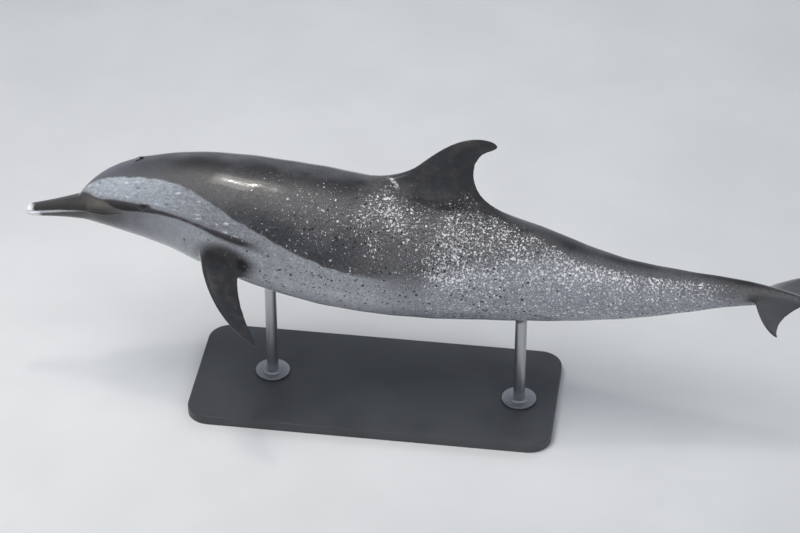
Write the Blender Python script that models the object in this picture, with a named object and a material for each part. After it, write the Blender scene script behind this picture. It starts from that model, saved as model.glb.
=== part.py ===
"""Life-size still model of a pantropical spotted dolphin (Stenella attenuata) on a plain stand.

The animal is drawn straight, as a loft of rings along its axis with the fins grown out of it,
then bent into its surfacing pose and banked. It is parted where a person names its parts.
Frame: metres, +Z up, the beak points to -X, the left flank faces -Y, and the origin is the
centre of the stand's underside.
"""

import math

import bmesh
import bpy
import numpy as np
from mathutils import Matrix, Vector

# ---------------------------------------------------------------- driving dimensions
LENGTH = 2.0  # of the body's axis, before the beak is drawn out in front
GAP = 0.0003  # between neighbouring solids
AXIS_HEIGHT = 0.47  # of the body's axis over the floor, at the pivot of the pose
BANK = math.radians(15)  # the back leans towards +Y

# Sections of head and body, in per cent of LENGTH: place along the axis, height of the back
# over it, depth of the belly under it, half width.
BODY = (
    (5.6, 0.20, 0.20, 0.20),
    (6.75, 1.70, 1.10, 1.10),
    (8.0, 2.95, 1.80, 2.30),
    (10.0, 4.35, 2.50, 3.50),
    (12.5, 5.45, 3.30, 4.35),
    (15.5, 6.25, 4.20, 5.00),
    (18.5, 6.85, 5.10, 5.65),
    (23.0, 7.50, 6.50, 6.60),
    (30.0, 8.20, 7.90, 7.55),
    (37.5, 8.60, 8.60, 7.90),
    (45.0, 8.50, 8.60, 7.70),
    (54.0, 7.80, 7.75, 6.85),
    (62.5, 6.85, 6.35, 5.50),
    (70.0, 5.45, 4.95, 4.10),
    (77.5, 3.65, 3.70, 2.85),
    (85.0, 2.40, 2.60, 1.80),
    (92.0, 1.50, 1.45, 1.10),
    (96.5, 0.90, 0.90, 0.90),
    (100.0, 0.25, 0.25, 0.35),
)
# The same for the beak, which runs on inside the head.
BEAK = (
    (0.0, 0.75, 0.75, 0.85),
    (2.0, 0.90, 0.95, 1.05),
    (4.0, 1.12, 1.20, 1.30),
    (6.75, 1.55, 1.65, 1.85),
    (10.0, 1.90, 2.40, 2.35),
    (14.0, 2.10, 3.50, 2.80),
    (20.0, 1.50, 3.50, 2.50),
)
BEAK_END = 20.0
BODY_SQUARENESS, BEAK_SQUARENESS = 2.15, 2.3  # powers of the sections; an ellipse has 2
TIP_ROUND = 1.0  # per cent of LENGTH over which the beak's tip rounds off
EDGE, EDGE_ROUND = 0.0012, 0.35  # half thickness of a fin's edge, and its rounding
CREASE_SOFT = 0.0025  # rounding of the crease where the forehead meets the beak
THROAT_SOFT = 0.012  # the same under the jaw, where there is no crease
CREASE_FOOT = -0.2  # sine of the angle down to which the crease goes
TAIL_END = 99.0  # per cent of LENGTH from which the body is rounded off between the flukes
TAIL_SHARE = 0.35  # of its last stretch that is left in the rounding


def spline(knots, values):
    """A natural cubic curve through values at knots, as a function of an array."""
    x, y = np.array(knots, float), np.array(values, float)
    h = np.diff(x)
    slope = np.diff(y) / h
    size = len(x)
    a = np.eye(size)
    b = np.zeros(size)
    for i in range(1, size - 1):
        a[i, i - 1 : i + 2] = h[i - 1], 2 * (h[i - 1] + h[i]), h[i]
        b[i] = 6 * (slope[i] - slope[i - 1])
    bend = np.linalg.solve(a, b)

    def curve(at):
        at = np.clip(np.asarray(at, float), x[0], x[-1])
        i = np.clip(np.searchsorted(x, at, side="right") - 1, 0, size - 2)
        t, u = at - x[i], x[i + 1] - at
        return (
            (bend[i] * u**3 + bend[i + 1] * t**3) / (6 * h[i])
            + (y[i] / h[i] - bend[i] * h[i] / 6) * u
            + (y[i + 1] / h[i] - bend[i + 1] * h[i] / 6) * t
        )

    return curve


def sections(table):
    """Back, belly and half width in metres, as functions of the place along the axis."""
    share = LENGTH / 100
    columns = np.array(table) * share
    return [spline(columns[:, 0], columns[:, k]) for k in (1, 2, 3)]


BODY_CURVES = sections(BODY)
BEAK_CURVES = sections(BEAK)


def reach(curves, along, angle, power):
    """Distance from the axis to one shape's skin. Angle 0 is the right side, 90 the back."""
    back, belly, side = (np.maximum(curve(along), 1e-4) for curve in curves)
    rise, run = np.sin(angle), np.cos(angle)
    height = np.where(rise >= 0, back, belly)
    return (np.abs(run / side) ** power + np.abs(rise / height) ** power) ** (-1 / power)


def radius(along, angle):
    """Distance from the axis to the skin: the larger of head and beak, with a soft crease."""
    along, angle = np.broadcast_arrays(np.asarray(along, float), np.asarray(angle, float))
    trunk = reach(BODY_CURVES, along, angle, BODY_SQUARENESS)
    trunk = np.where(along < BODY[0][0] * LENGTH / 100, 0, trunk)
    beak = reach(BEAK_CURVES, along, angle, BEAK_SQUARENESS)
    tip = np.clip(along / (TIP_ROUND * LENGTH / 100), 0, 1)
    beak = beak * np.sqrt(np.maximum(1 - (1 - tip) ** 2, 0))
    beak = np.where(along > BEAK_END * LENGTH / 100, 0, beak)
    soft = np.where(np.sin(angle) > CREASE_FOOT, CREASE_SOFT, THROAT_SOFT)
    near = np.clip(0.5 + 0.5 * (trunk - beak) / soft, 0, 1)
    return beak + (trunk - beak) * near + soft * near * (1 - near)


def skin_point(along, angle, lift=0.0):
    """Points of the straight animal's skin: x along the axis from the beak's tip, z up."""
    r = radius(along, angle) + lift
    along = np.broadcast_to(along, r.shape)
    stretch = (1 - TAIL_END / 100) * LENGTH
    past = np.clip((along - LENGTH) / stretch + 1, 0, 1)
    r = r * np.sqrt(1 - 0.96 * past**2)
    x = along - past * stretch * (1 - TAIL_SHARE)
    return np.stack([x, r * np.cos(angle), r * np.sin(angle)], -1)


# ---------------------------------------------------------------- the pose
# Pitch and turn of the axis in degrees at places in per cent of LENGTH. Pitch is positive
# where the axis rises towards the tail, and turn where it swings to the left flank.
PITCH = (
    (0, 9.5),
    (14, 3.5),
    (25, -6.8),
    (35, -8.0),
    (47, -6.0),
    (58, -6.5),
    (68, -5.5),
    (78, 3.0),
    (90, 5.5),
    (100, 1.0),
)
TURN = ((0, -3.0), (50, 1.0), (80, 4.0), (100, 17.0))
PIVOT = 45.0  # per cent of LENGTH at which the axis crosses the middle of the stand
DRAW_FROM = 0.135  # the beak is drawn out in front of this place along the axis, in metres
DRAW = 0.09  # by this share of its length
OVERHANG = 0.03  # how far the axis runs on in front of its start, to carry the drawn beak


def axis_frame(along):
    """Place, and the side and up directions, of the bent axis at each distance along it."""
    steps = np.linspace(-OVERHANG, LENGTH, 407)
    share = 100 / LENGTH
    pitch = np.radians(spline(*zip(*PITCH, strict=True))(steps * share))
    turn = np.radians(spline(*zip(*TURN, strict=True))(steps * share))
    ahead = np.stack(
        [np.cos(pitch) * np.cos(turn), -np.cos(pitch) * np.sin(turn), np.sin(pitch)], -1
    )
    side = np.stack([np.sin(turn), np.cos(turn), np.zeros_like(turn)], -1)
    middle = (ahead[1:] + ahead[:-1]) / 2 * np.diff(steps)[:, None]
    place = np.vstack([np.zeros(3), np.cumsum(middle, 0)])
    place -= [np.interp(PIVOT / share, steps, place[:, k]) for k in range(3)]
    up = np.cross(ahead, side)

    def at(values):
        return np.stack([np.interp(along, steps, values[:, k]) for k in range(3)], -1)

    return at(place), at(side), at(up)


def posed(points):
    """Points of the straight animal, moved to where they are in the model."""
    points = np.asarray(points, float)
    along = points[:, 0] - DRAW * np.maximum(DRAW_FROM - points[:, 0], 0)
    place, side, up = axis_frame(along)
    bent = place + side * points[:, 1:2] + up * points[:, 2:3]
    lean = np.array(Matrix.Rotation(-BANK, 3, "X"))
    return bent @ lean.T + [0, 0, AXIS_HEIGHT]


# ---------------------------------------------------------------- lengths of the body
COLUMNS = 32  # points round each ring; column 0 is on the right side
TOP, LEFT = COLUMNS // 4, COLUMNS // 2
TIP_CROWD = 1.9  # how much the rings of the beak crowd towards its tip
# Each length's name, where it ends in per cent of LENGTH, and its number of rings.
LENGTHS = (
    ("beak", 6.75, 8),
    ("head", 17.5, 12),
    ("neck", 22.0, 3),
    ("chest", 39.5, 14),
    ("trunk", 66.0, 17),
    ("loin", 78.0, 7),
    ("tail_stock", 89.0, 6),
    ("fluke_root", 100.0, 11),
)


def length_places(name):
    """Places of the rings of one length in metres, the ring where it starts included.

    The rings of the beak crowd towards its round tip.
    """
    start = 0.0
    for other, end, rings in LENGTHS:
        if other == name:
            steps = np.linspace(0, 1, rings + 1)
            steps = steps ** (TIP_CROWD if start == 0 else 1)
            return (start + (end - start) * steps) * LENGTH / 100
        start = end
    raise ValueError(name)


class Shell:
    """A closed mesh in the making: points of the straight animal, and faces."""

    def __init__(self):
        self.points, self.faces = [], []
        self.count = 0

    def add(self, points):
        """Adds points and returns their numbers, in the same layout."""
        points = np.asarray(points, float)
        block = points.reshape(-1, 3)
        numbers = self.count + np.arange(len(block)).reshape(points.shape[:-1])
        self.points.append(block)
        self.count += len(block)
        return numbers

    def strip(self, one, other, closed=True):
        """Joins two rows of points with quads."""
        last = len(one) if closed else len(one) - 1
        for k in range(last):
            after = (k + 1) % len(one)
            self.faces.append((one[k], one[after], other[after], other[k]))

    def cap(self, row):
        """Closes a flat row of points with one face."""
        self.faces.append(tuple(row))

    def ladder(self, loop, long, wide):
        """Closes the end of a blade, with rungs from one of its sides to the other."""
        one = loop[: long + 1]
        other = loop[long + wide : 2 * long + wide + 1][::-1]
        for k in range(long):
            self.faces.append((one[k], one[k + 1], other[k + 1]))
            self.faces.append((one[k], other[k + 1], other[k]))
        for end in (loop[long : long + wide + 1], np.append(loop[2 * long + wide :], loop[0])):
            for k in range(1, wide):
                self.faces.append((end[0], end[k], end[k + 1]))

    def made(self, name, material):
        """The solid as an object, in its pose."""
        faces = [tuple(int(i) for i in face) for face in self.faces]
        mesh = bpy.data.meshes.new(name)
        mesh.from_pydata(posed(np.vstack(self.points)).tolist(), [], faces)
        return placed(name, mesh, material)


def placed(name, mesh, material):
    """A closed, outward-facing, smooth-shaded object of a mesh."""
    solid = bmesh.new()
    solid.from_mesh(mesh)
    loose = [vertex for vertex in solid.verts if not vertex.link_faces]
    bmesh.ops.delete(solid, geom=loose, context="VERTS")
    bmesh.ops.recalc_face_normals(solid, faces=solid.faces)
    solid.to_mesh(mesh)
    solid.free()
    mesh.shade_smooth()
    mesh.set_sharp_from_angle(angle=math.radians(35))
    mesh.materials.append(material)
    part = bpy.data.objects.new(name, mesh)
    bpy.context.scene.collection.objects.link(part)
    return part


# ---------------------------------------------------------------- fins
FILLET_STEPS = 3  # loops between the body and the foot of a blade
SPREAD = 0.5  # how far a blade's root spreads along the body
NOSE, HEEL = math.radians(24), math.radians(14)  # outline angles at a blade's corners
BLADE_SHARES = (0.36, 0.50, 0.64, 0.77, 0.88, 0.94, 0.975, 0.996)  # loops, in shares of the span
TIP_SHARE = 0.92  # share of a blade's span from which its end rounds off


def bezier(points, t):
    """A point of a cubic Bezier curve in the plane of a fin."""
    a, b, c, d = np.array(points, float)
    return (1 - t) ** 3 * a + 3 * (1 - t) ** 2 * t * b + 3 * (1 - t) * t**2 * c + t**3 * d


class Fin:
    """A blade with an aerofoil section, and the patch of the body that it grows from.

    The patch is its first and last place in per cent of LENGTH and its two columns. The edges
    are Bezier curves from root to tip, in metres along the chord and along the span.
    """

    def __init__(self, patch, root, chord, span, leading, trailing, thick, foot):
        self.first, self.last, self.low, self.high = patch
        self.root = np.array(root, float)
        self.chord = np.array(Vector(chord).normalized())
        self.across = np.array(Vector(np.cross(self.chord, span)).normalized())
        self.span = np.cross(self.across, self.chord)
        self.leading, self.trailing = leading, trailing
        self.thick, self.foot = thick, foot

    def loop(self, t, turns):
        """The blade's section at share t of its span, at angles round its outline."""
        front, rear = bezier(self.leading, t), bezier(self.trailing, t)
        past = max(t - TIP_SHARE, 0) / (1 - TIP_SHARE)
        narrow = (1 - math.sqrt(max(1 - past**2, 0))) / 2
        front, rear = front + (rear - front) * narrow, rear + (front - rear) * narrow
        share = (1 - np.cos(turns)) / 2
        flat = front + share[:, None] * (rear - front)
        wing = 2.969 * np.sqrt(share) - 1.26 * share - 3.516 * share**2
        wing += 2.843 * share**3 - 1.036 * share**4
        edge = EDGE * np.abs(np.sin(turns)) ** EDGE_ROUND
        half = (np.linalg.norm(rear - front) * self.thick * wing + edge) * np.sign(np.sin(turns))
        out = flat[:, :1] * self.chord + flat[:, 1:] * self.span + half[:, None] * self.across
        return self.root + out

    def turns(self, long, wide, sign):
        """Outline angles of the blade's points, side, heel, other side and nose."""
        legs = (
            np.linspace(NOSE, math.pi - HEEL, long + 1),
            np.linspace(math.pi - HEEL, math.pi + HEEL, wide + 1)[1:-1],
            np.linspace(math.pi + HEEL, 2 * math.pi - NOSE, long + 1),
            np.linspace(-NOSE, NOSE, wide + 1)[1:-1],
        )
        return sign * np.concatenate(legs)

    def fillet(self, border, normals, turns, steps):
        """Loops from the border of the patch, which is left out, to the foot of the blade."""
        foot = self.loop(self.foot, turns)
        leave = self.loop(self.foot + 0.01, turns) - foot
        leave /= np.linalg.norm(leave, axis=1)[:, None]
        gap = foot - border
        size = np.linalg.norm(gap, axis=1)[:, None]
        start = gap - normals * (gap * normals).sum(1)[:, None]
        start /= np.linalg.norm(start, axis=1)[:, None] + 1e-9
        loops = []
        for t in np.linspace(0, 1, steps + 1)[1:]:
            along = (t**3 - 2 * t**2 + t) * SPREAD * start + (t**3 - t**2) * leave
            loops.append(border + (3 * t**2 - 2 * t**3) * gap + along * size)
        return loops


def skin_normals(along, angle):
    """Outward directions of the straight animal's skin."""
    step = 1e-4
    length_way = skin_point(along + step, angle) - skin_point(along - step, angle)
    round_way = skin_point(along, angle + step) - skin_point(along, angle - step)
    normals = np.cross(round_way, length_way)
    return normals / np.linalg.norm(normals, axis=1)[:, None]


def patch_border(rows, columns):
    """The grid places round a patch: one side, the heel, the other side and the nose."""
    one = [(i, columns[0]) for i in rows]
    heel = [(rows[-1], j) for j in columns[1:-1]]
    other = [(i, columns[-1]) for i in reversed(rows)]
    nose = [(rows[0], j) for j in reversed(columns[1:-1])]
    return one + heel + other + nose


def body_length(name, material, fins=()):
    """One length of the body, cut square at its ends, with the roots of the fins it bears.

    Returns the object, with the blade of each fin as a shell of its own.
    """
    shell = Shell()
    places = length_places(name)
    spots = places.copy()
    spots[0] += GAP / 2
    spots[-1] -= GAP / 2 if name != LENGTHS[-1][0] else 0
    theta = np.arange(COLUMNS) * 2 * math.pi / COLUMNS
    grid = shell.add(skin_point(spots[:, None], theta[None, :]))
    covered = set()
    blades = []
    for fin in fins:
        share = places * 100 / LENGTH
        rows = [i for i, at in enumerate(share) if fin.first - 0.01 <= at <= fin.last + 0.01]
        columns = list(range(fin.low, fin.high + 1))
        long, wide = len(rows) - 1, len(columns) - 1
        covered |= {(i, j % COLUMNS) for i in rows[:-1] for j in columns[:-1]}
        border = np.array(patch_border(rows, columns))
        along, angle = spots[border[:, 0]], border[:, 1] * 2 * math.pi / COLUMNS
        edge = skin_point(along, angle)
        lean = (edge[: long + 1].mean(0) - edge[long + wide : -1].mean(0)) @ fin.across
        turns = fin.turns(long, wide, math.copysign(1, lean))
        before = grid[border[:, 0], border[:, 1] % COLUMNS]
        for loop in fin.fillet(edge, skin_normals(along, angle), turns, FILLET_STEPS):
            row = shell.add(loop)
            shell.strip(before, row)
            before = row
        shell.ladder(before, long, wide)
        blades.append(blade_shell(fin, turns, long, wide))
    for i in range(len(places) - 1):
        for j in range(COLUMNS):
            if (i, j) not in covered:
                after = (j + 1) % COLUMNS
                shell.faces.append((grid[i, j], grid[i, after], grid[i + 1, after], grid[i + 1, j]))
    shell.cap(grid[0])
    shell.cap(grid[-1])
    return shell.made(name, material), blades


def blade_shell(fin, turns, long, wide):
    """The blade of a fin, from just past its foot to its tip."""
    shell = Shell()
    start = fin.foot + GAP / np.linalg.norm(np.array(fin.leading[-1]))
    before = shell.add(fin.loop(start, turns))
    shell.ladder(before, long, wide)
    for t in BLADE_SHARES:
        if t > fin.foot + 0.05:
            row = shell.add(fin.loop(t, turns))
            shell.strip(before, row)
            before = row
    shell.ladder(before, long, wide)
    return shell


# ---------------------------------------------------------------- beak
def beak_half(name, material, upper):
    """The upper or lower half of the beak, split along the line of the mouth."""
    shell = Shell()
    places = length_places("beak")
    places[-1] -= GAP / 2
    sign = 1 if upper else -1
    theta = sign * np.linspace(0, math.pi, LEFT + 1)
    part = GAP / 2 * sign
    points = skin_point(places[1:, None], theta[None, :])
    points[:, 0, 2] = part
    points[:, -1, 2] = part
    grid = shell.add(points)
    tip = int(shell.add(np.array([[0.0, 0.0, part]]))[0])
    for one, other in zip(grid[:-1], grid[1:], strict=True):
        shell.strip(one, other, closed=False)
        shell.faces.append((one[0], one[-1], other[-1], other[0]))
    for k in range(LEFT):
        shell.faces.append((grid[0][k], grid[0][k + 1], tip))
    shell.faces.append((grid[0][0], grid[0][-1], tip))
    shell.cap(grid[-1])
    return shell.made(name, material)


# ---------------------------------------------------------------- stand and eyes
EYE_PLACE, EYE_ANGLE = 15.7, math.radians(15.5)  # per cent of LENGTH, and above the side
EYE_RADIUS = 0.0135
EYE_DEPTH = 0.0105  # of its centre under the skin
BASE_SIZE, BASE_CORNER, BASE_BEVEL = (0.95, 0.40, 0.025), 0.06, 0.004
ROD_PLACES = (31.0, 64.0)  # per cent of LENGTH
ROD_RADIUS = 0.015
COLLAR_RADIUS, COLLAR_HEIGHT, COLLAR_BEVEL = 0.045, 0.014, 0.003
ROUND_STEPS = 18  # sides of a round piece


def eye_centre(angle):
    """Centre of an eyeball, in the model."""
    along = np.array([EYE_PLACE * LENGTH / 100])
    angle = np.array([angle])
    inside = skin_point(along, angle) - skin_normals(along, angle) * EYE_DEPTH
    return posed(inside)[0]


def ball(name, centre, radius, material):
    """A closed ball."""
    solid = bmesh.new()
    bmesh.ops.create_uvsphere(solid, u_segments=14, v_segments=9, radius=radius)
    mesh = bpy.data.meshes.new(name)
    solid.to_mesh(mesh)
    solid.free()
    part = placed(name, mesh, material)
    part.location = centre
    return part


def guide(part):
    """Keeps an object out of the model: it only shapes others."""
    part.hide_render = True
    part.display_type = "WIRE"
    return part


def cut(part, cutter):
    """Takes a cutter's shape out of an object."""
    modifier = part.modifiers.new(cutter.name, "BOOLEAN")
    modifier.operation = "DIFFERENCE"
    modifier.solver = "EXACT"
    modifier.object = cutter


def turned(name, profile, centre, material):
    """A round piece turned about the vertical, from (radius, height) points of its section."""
    solid = bmesh.new()
    turns = np.arange(ROUND_STEPS) * 2 * math.pi / ROUND_STEPS
    rows = []
    for r, z in profile:
        rows.append([solid.verts.new((r * math.cos(a), r * math.sin(a), z)) for a in turns])
    for one, other in zip(rows, rows[1:] + rows[:1], strict=True):
        for k in range(ROUND_STEPS):
            after = (k + 1) % ROUND_STEPS
            solid.faces.new((one[k], one[after], other[after], other[k]))
    mesh = bpy.data.meshes.new(name)
    solid.to_mesh(mesh)
    solid.free()
    part = placed(name, mesh, material)
    part.location = centre
    return part


def plate(name, size, corner, bevel, material):
    """A flat plate with round corners and a bevelled edge, standing on the floor."""
    solid = bmesh.new()
    outline = []
    for quarter, (sx, sy) in enumerate(((1, 1), (-1, 1), (-1, -1), (1, -1))):
        for step in range(7):
            a = (quarter + step / 6) * math.pi / 2
            x = sx * (size[0] / 2 - corner) + corner * math.cos(a)
            y = sy * (size[1] / 2 - corner) + corner * math.sin(a)
            outline.append(solid.verts.new((x, y, 0)))
    bottom = solid.faces.new(outline)
    top = bmesh.ops.extrude_face_region(solid, geom=[bottom])["geom"]
    lifted = [item for item in top if isinstance(item, bmesh.types.BMVert)]
    bmesh.ops.translate(solid, verts=lifted, vec=(0, 0, size[2]))
    rim = [e for e in solid.edges if all(v.co.z > size[2] / 2 for v in e.verts)]
    bmesh.ops.bevel(
        solid, geom=rim, offset=bevel, segments=2, profile=0.5, affect="EDGES", clamp_overlap=True
    )
    mesh = bpy.data.meshes.new(name)
    solid.to_mesh(mesh)
    solid.free()
    return placed(name, mesh, material)


def rod(name, centre, radius, bottom, top, material):
    """A straight round rod."""
    solid = bmesh.new()
    bmesh.ops.create_cone(
        solid,
        cap_ends=True,
        segments=ROUND_STEPS,
        radius1=radius,
        radius2=radius,
        depth=top - bottom,
    )
    mesh = bpy.data.meshes.new(name)
    solid.to_mesh(mesh)
    solid.free()
    part = placed(name, mesh, material)
    part.location = (centre[0], centre[1], (top + bottom) / 2)
    return part


def body_guide(first, last):
    """The body's own shape, a gap larger all round, to cut the rods with."""
    shell = Shell()
    places = np.linspace(first, last, 33) * LENGTH / 100
    theta = np.arange(COLUMNS) * 2 * math.pi / COLUMNS
    grid = shell.add(skin_point(places[:, None], theta[None, :], GAP))
    for one, other in zip(grid[:-1], grid[1:], strict=True):
        shell.strip(one, other)
    shell.cap(grid[0])
    shell.cap(grid[-1])
    return guide(shell.made("body_guide", None))


# ---------------------------------------------------------------- finishes
def linear(*colour):
    """Screen values of a colour, 0 to 255, as Blender's linear ones."""
    share = [value / 255 for value in colour]
    return [v / 12.92 if v <= 0.04045 else ((v + 0.055) / 1.055) ** 2.4 for v in share]


def finish(name, colour, roughness, metallic=0.0):
    """A plain Principled material."""
    material = bpy.data.materials.new(name)
    material.use_nodes = True
    shader = material.node_tree.nodes["Principled BSDF"]
    shader.inputs["Base Color"].default_value = (*linear(*colour), 1)
    shader.inputs["Roughness"].default_value = roughness
    shader.inputs["Metallic"].default_value = metallic
    return material


# ---------------------------------------------------------------- the model
for old in list(bpy.data.objects):
    bpy.data.objects.remove(old, do_unlink=True)

# Each skin finish is its own material, as the pieces differ in colour.
beak_skin = finish("beak_skin", (92, 93, 97), 0.35)
head_skin = finish("head_skin", (112, 114, 121), 0.35)
neck_skin = finish("neck_skin", (118, 121, 128), 0.35)
chest_skin = finish("chest_skin", (112, 115, 121), 0.35)
trunk_skin = finish("trunk_skin", (104, 106, 110), 0.35)
loin_skin = finish("loin_skin", (112, 114, 119), 0.35)
tail_skin = finish("tail_skin", (96, 96, 101), 0.35)
fin_skin = finish("fin_skin", (58, 62, 67), 0.35)
eye_finish = finish("eye_finish", (20, 17, 16), 0.08)
stand_paint = finish("stand_paint", (52, 54, 57), 0.5)
rod_steel = finish("rod_steel", (170, 172, 175), 0.3, 1.0)

dorsal = Fin(
    patch=(41.0, 64.5, TOP - 1, TOP + 1),
    root=(0.935, 0, 0.163),
    chord=(1, 0, -0.09),
    span=(0, 0, 1),
    leading=((-0.018, 0), (0.057, 0.097), (0.116, 0.203), (0.217, 0.181)),
    trailing=((0.256, 0), (0.142, 0.062), (0.162, 0.150), (0.208, 0.162)),
    thick=0.080,
    foot=0.26,
)


def flipper(side):
    """A flipper, with side 1 for the right and -1 for the left."""
    low = COLUMNS - 4 if side > 0 else LEFT + 2
    return Fin(
        patch=(23.1, 30.8, low, low + 2),
        root=(0.468, 0.104 * side, -0.072),
        chord=(1, 0, -0.16),
        span=(0, 0.77 * side, -0.64),
        leading=((0, 0), (0.040, 0.090), (0.115, 0.170), (0.236, 0.200)),
        trailing=((0.112, 0), (0.118, 0.055), (0.158, 0.125), (0.228, 0.189)),
        thick=0.085,
        foot=0.22,
    )


def fluke(side):
    """A fluke, with side 1 for the right and -1 for the left."""
    low = -4 if side > 0 else LEFT - 4
    return Fin(
        patch=(91.0, 99.0, low, low + 8),
        root=(1.848, 0.004 * side, 0),
        chord=(1, 0, 0),
        span=(0, side, -0.06),
        leading=((0.016, 0), (0.046, 0.080), (0.082, 0.188), (0.154, 0.233)),
        trailing=((0.166, 0), (0.152, 0.032), (0.104, 0.128), (0.149, 0.222)),
        thick=0.065,
        foot=0.24,
    )


SIDES = {"right": 1, "left": -1}
beak_half("beak_upper", beak_skin, True)
beak_half("beak_lower", beak_skin, False)
head, _ = body_length("head", head_skin)
body_length("neck", neck_skin)
_, flippers = body_length("chest", chest_skin, [flipper(side) for side in SIDES.values()])
_, dorsals = body_length("trunk", trunk_skin, [dorsal])
body_length("loin", loin_skin)
body_length("tail_stock", tail_skin)
_, flukes = body_length("fluke_root", tail_skin, [fluke(side) for side in SIDES.values()])
dorsals[0].made("dorsal_fin", fin_skin)
for side, shell in zip(SIDES, flippers, strict=True):
    shell.made("flipper_" + side, fin_skin)
for side, shell in zip(SIDES, flukes, strict=True):
    shell.made("fluke_" + side, fin_skin)
for side, sign in SIDES.items():
    centre = eye_centre(EYE_ANGLE if sign > 0 else math.pi - EYE_ANGLE)
    ball("eye_" + side, centre, EYE_RADIUS, eye_finish)
    cut(head, guide(ball("socket_" + side, centre, EYE_RADIUS + GAP, None)))

plate("stand_base", BASE_SIZE, BASE_CORNER, BASE_BEVEL, stand_paint)
rod_guide = body_guide(24, 72)
for end, place in zip(("front", "rear"), ROD_PLACES, strict=True):
    foot = posed(np.array([[place * LENGTH / 100, 0, 0]]))[0]
    piece = rod("stand_rod_" + end, foot, ROD_RADIUS, BASE_SIZE[2] + GAP, foot[2], rod_steel)
    cut(piece, rod_guide)
    inner, outer, low = ROD_RADIUS + GAP, COLLAR_RADIUS, BASE_SIZE[2] + GAP
    high, rim = low + COLLAR_HEIGHT, COLLAR_BEVEL
    profile = ((inner, low), (outer, low), (outer, high - rim), (outer - rim, high), (inner, high))
    turned("stand_collar_" + end, profile, (foot[0], foot[1], 0), rod_steel)
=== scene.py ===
"""Looks of a life-size pantropical spotted dolphin (Stenella attenuata) on a display stand.

The pieces follow each other as the model is put together: stand base, collars, body skin with
its fins, lids, blowhole and markings, eyes, rods with their saddles, then the camera, the floor
and the lights. Metres, +Z up, beak to -X, left flank to -Y.
"""

import math

import bmesh
import bpy
import numpy as np
from mathutils import Matrix, Vector
from mathutils.bvhtree import BVHTree


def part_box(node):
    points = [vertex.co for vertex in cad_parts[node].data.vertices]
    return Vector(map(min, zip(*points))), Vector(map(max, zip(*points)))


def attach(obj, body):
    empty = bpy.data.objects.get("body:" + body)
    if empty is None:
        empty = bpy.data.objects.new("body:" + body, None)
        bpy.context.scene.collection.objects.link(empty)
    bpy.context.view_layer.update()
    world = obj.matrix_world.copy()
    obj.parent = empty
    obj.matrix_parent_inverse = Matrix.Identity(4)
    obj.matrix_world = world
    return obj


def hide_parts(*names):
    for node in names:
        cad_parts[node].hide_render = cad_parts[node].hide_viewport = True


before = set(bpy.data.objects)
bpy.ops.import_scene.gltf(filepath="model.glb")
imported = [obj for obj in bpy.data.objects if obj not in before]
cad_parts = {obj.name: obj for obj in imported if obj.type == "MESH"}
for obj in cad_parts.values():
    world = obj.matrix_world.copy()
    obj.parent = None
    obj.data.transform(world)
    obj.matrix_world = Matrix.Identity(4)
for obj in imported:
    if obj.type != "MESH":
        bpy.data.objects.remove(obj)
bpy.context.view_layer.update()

# ======== stand base
# A flat plate of aluminium, cut with round corners, its upper edge milled to a small round,
# and sprayed with a satin charcoal paint that shows a fine orange-peel. It lies on the floor.

BASE_CORNER = 0.060  # radius of the plate's corners
BASE_EDGE = 0.004  # radius of the milled upper edge
CORNER_STEPS, EDGE_STEPS = 16, 5


def linear(colour):
    """The linear light, with full alpha, of a screen colour of three numbers from 0 to 255."""
    shares = [value / 255 for value in colour]
    return (*(v / 12.92 if v <= 0.04045 else ((v + 0.055) / 1.055) ** 2.4 for v in shares), 1)


def fill(node, sockets):
    """Links sockets of a node to outputs of others, or sets them to values."""
    for key, value in sockets.items():
        if isinstance(value, bpy.types.NodeSocket):
            tree.links.new(value, node.inputs[key])
        else:
            node.inputs[key].default_value = value


def put(kind, sockets=None, **settings):
    """Adds a shader node, with its settings and sockets, to the tree in hand."""
    made = tree.nodes.new("ShaderNode" + kind)
    for key, value in settings.items():
        setattr(made, key, value)
    fill(made, sockets or {})
    return made


def step(value, low, high, low_out=0.0, high_out=1.0):
    """Goes smoothly from low_out to high_out as value goes from low to high."""
    sockets = {"Value": value, "From Min": low, "From Max": high}
    sockets |= {"To Min": low_out, "To Max": high_out}
    return put("MapRange", sockets, interpolation_type="SMOOTHSTEP").outputs["Result"]


def layers(tone, *coats, how="MIX"):
    """A colour with others laid over it in turn.

    Each coat is its share, or what step makes its share from, and then its colour.
    """
    for *share, colour in coats:
        sockets = {0: step(*share) if len(share) > 1 else share[0], 6: tone, 7: colour}
        sockets = {k: linear(v) if isinstance(v, tuple) else v for k, v in sockets.items()}
        tone = put("Mix", sockets, data_type="RGBA", blend_type=how).outputs[2]
    return tone


def grain(place, scale, detail=3.0, rough=0.5):
    """A noise from 0 to 1."""
    sockets = {"Vector": place, "Scale": scale, "Detail": detail, "Roughness": rough}
    return put("TexNoise", sockets).outputs["Fac"]


def relief(height, depth, strength, **under):
    """A bump of a real depth in metres, over another one if its Normal is given."""
    sockets = {"Height": height, "Distance": depth, "Strength": strength}
    return put("Bump", sockets | under).outputs["Normal"]


def new_finish(name):
    """An empty node material and its tree."""
    material = bpy.data.materials.new(name)
    material.use_nodes = True
    return material, material.node_tree


def dress(sockets):
    """Fills sockets of the shader of the material in hand."""
    fill(tree.nodes["Principled BSDF"], sockets)


def add_object(name, data):
    """Puts new mesh, camera or light data in the scene."""
    made = bpy.data.objects.new(name, data)
    bpy.context.scene.collection.objects.link(made)
    return made


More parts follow.
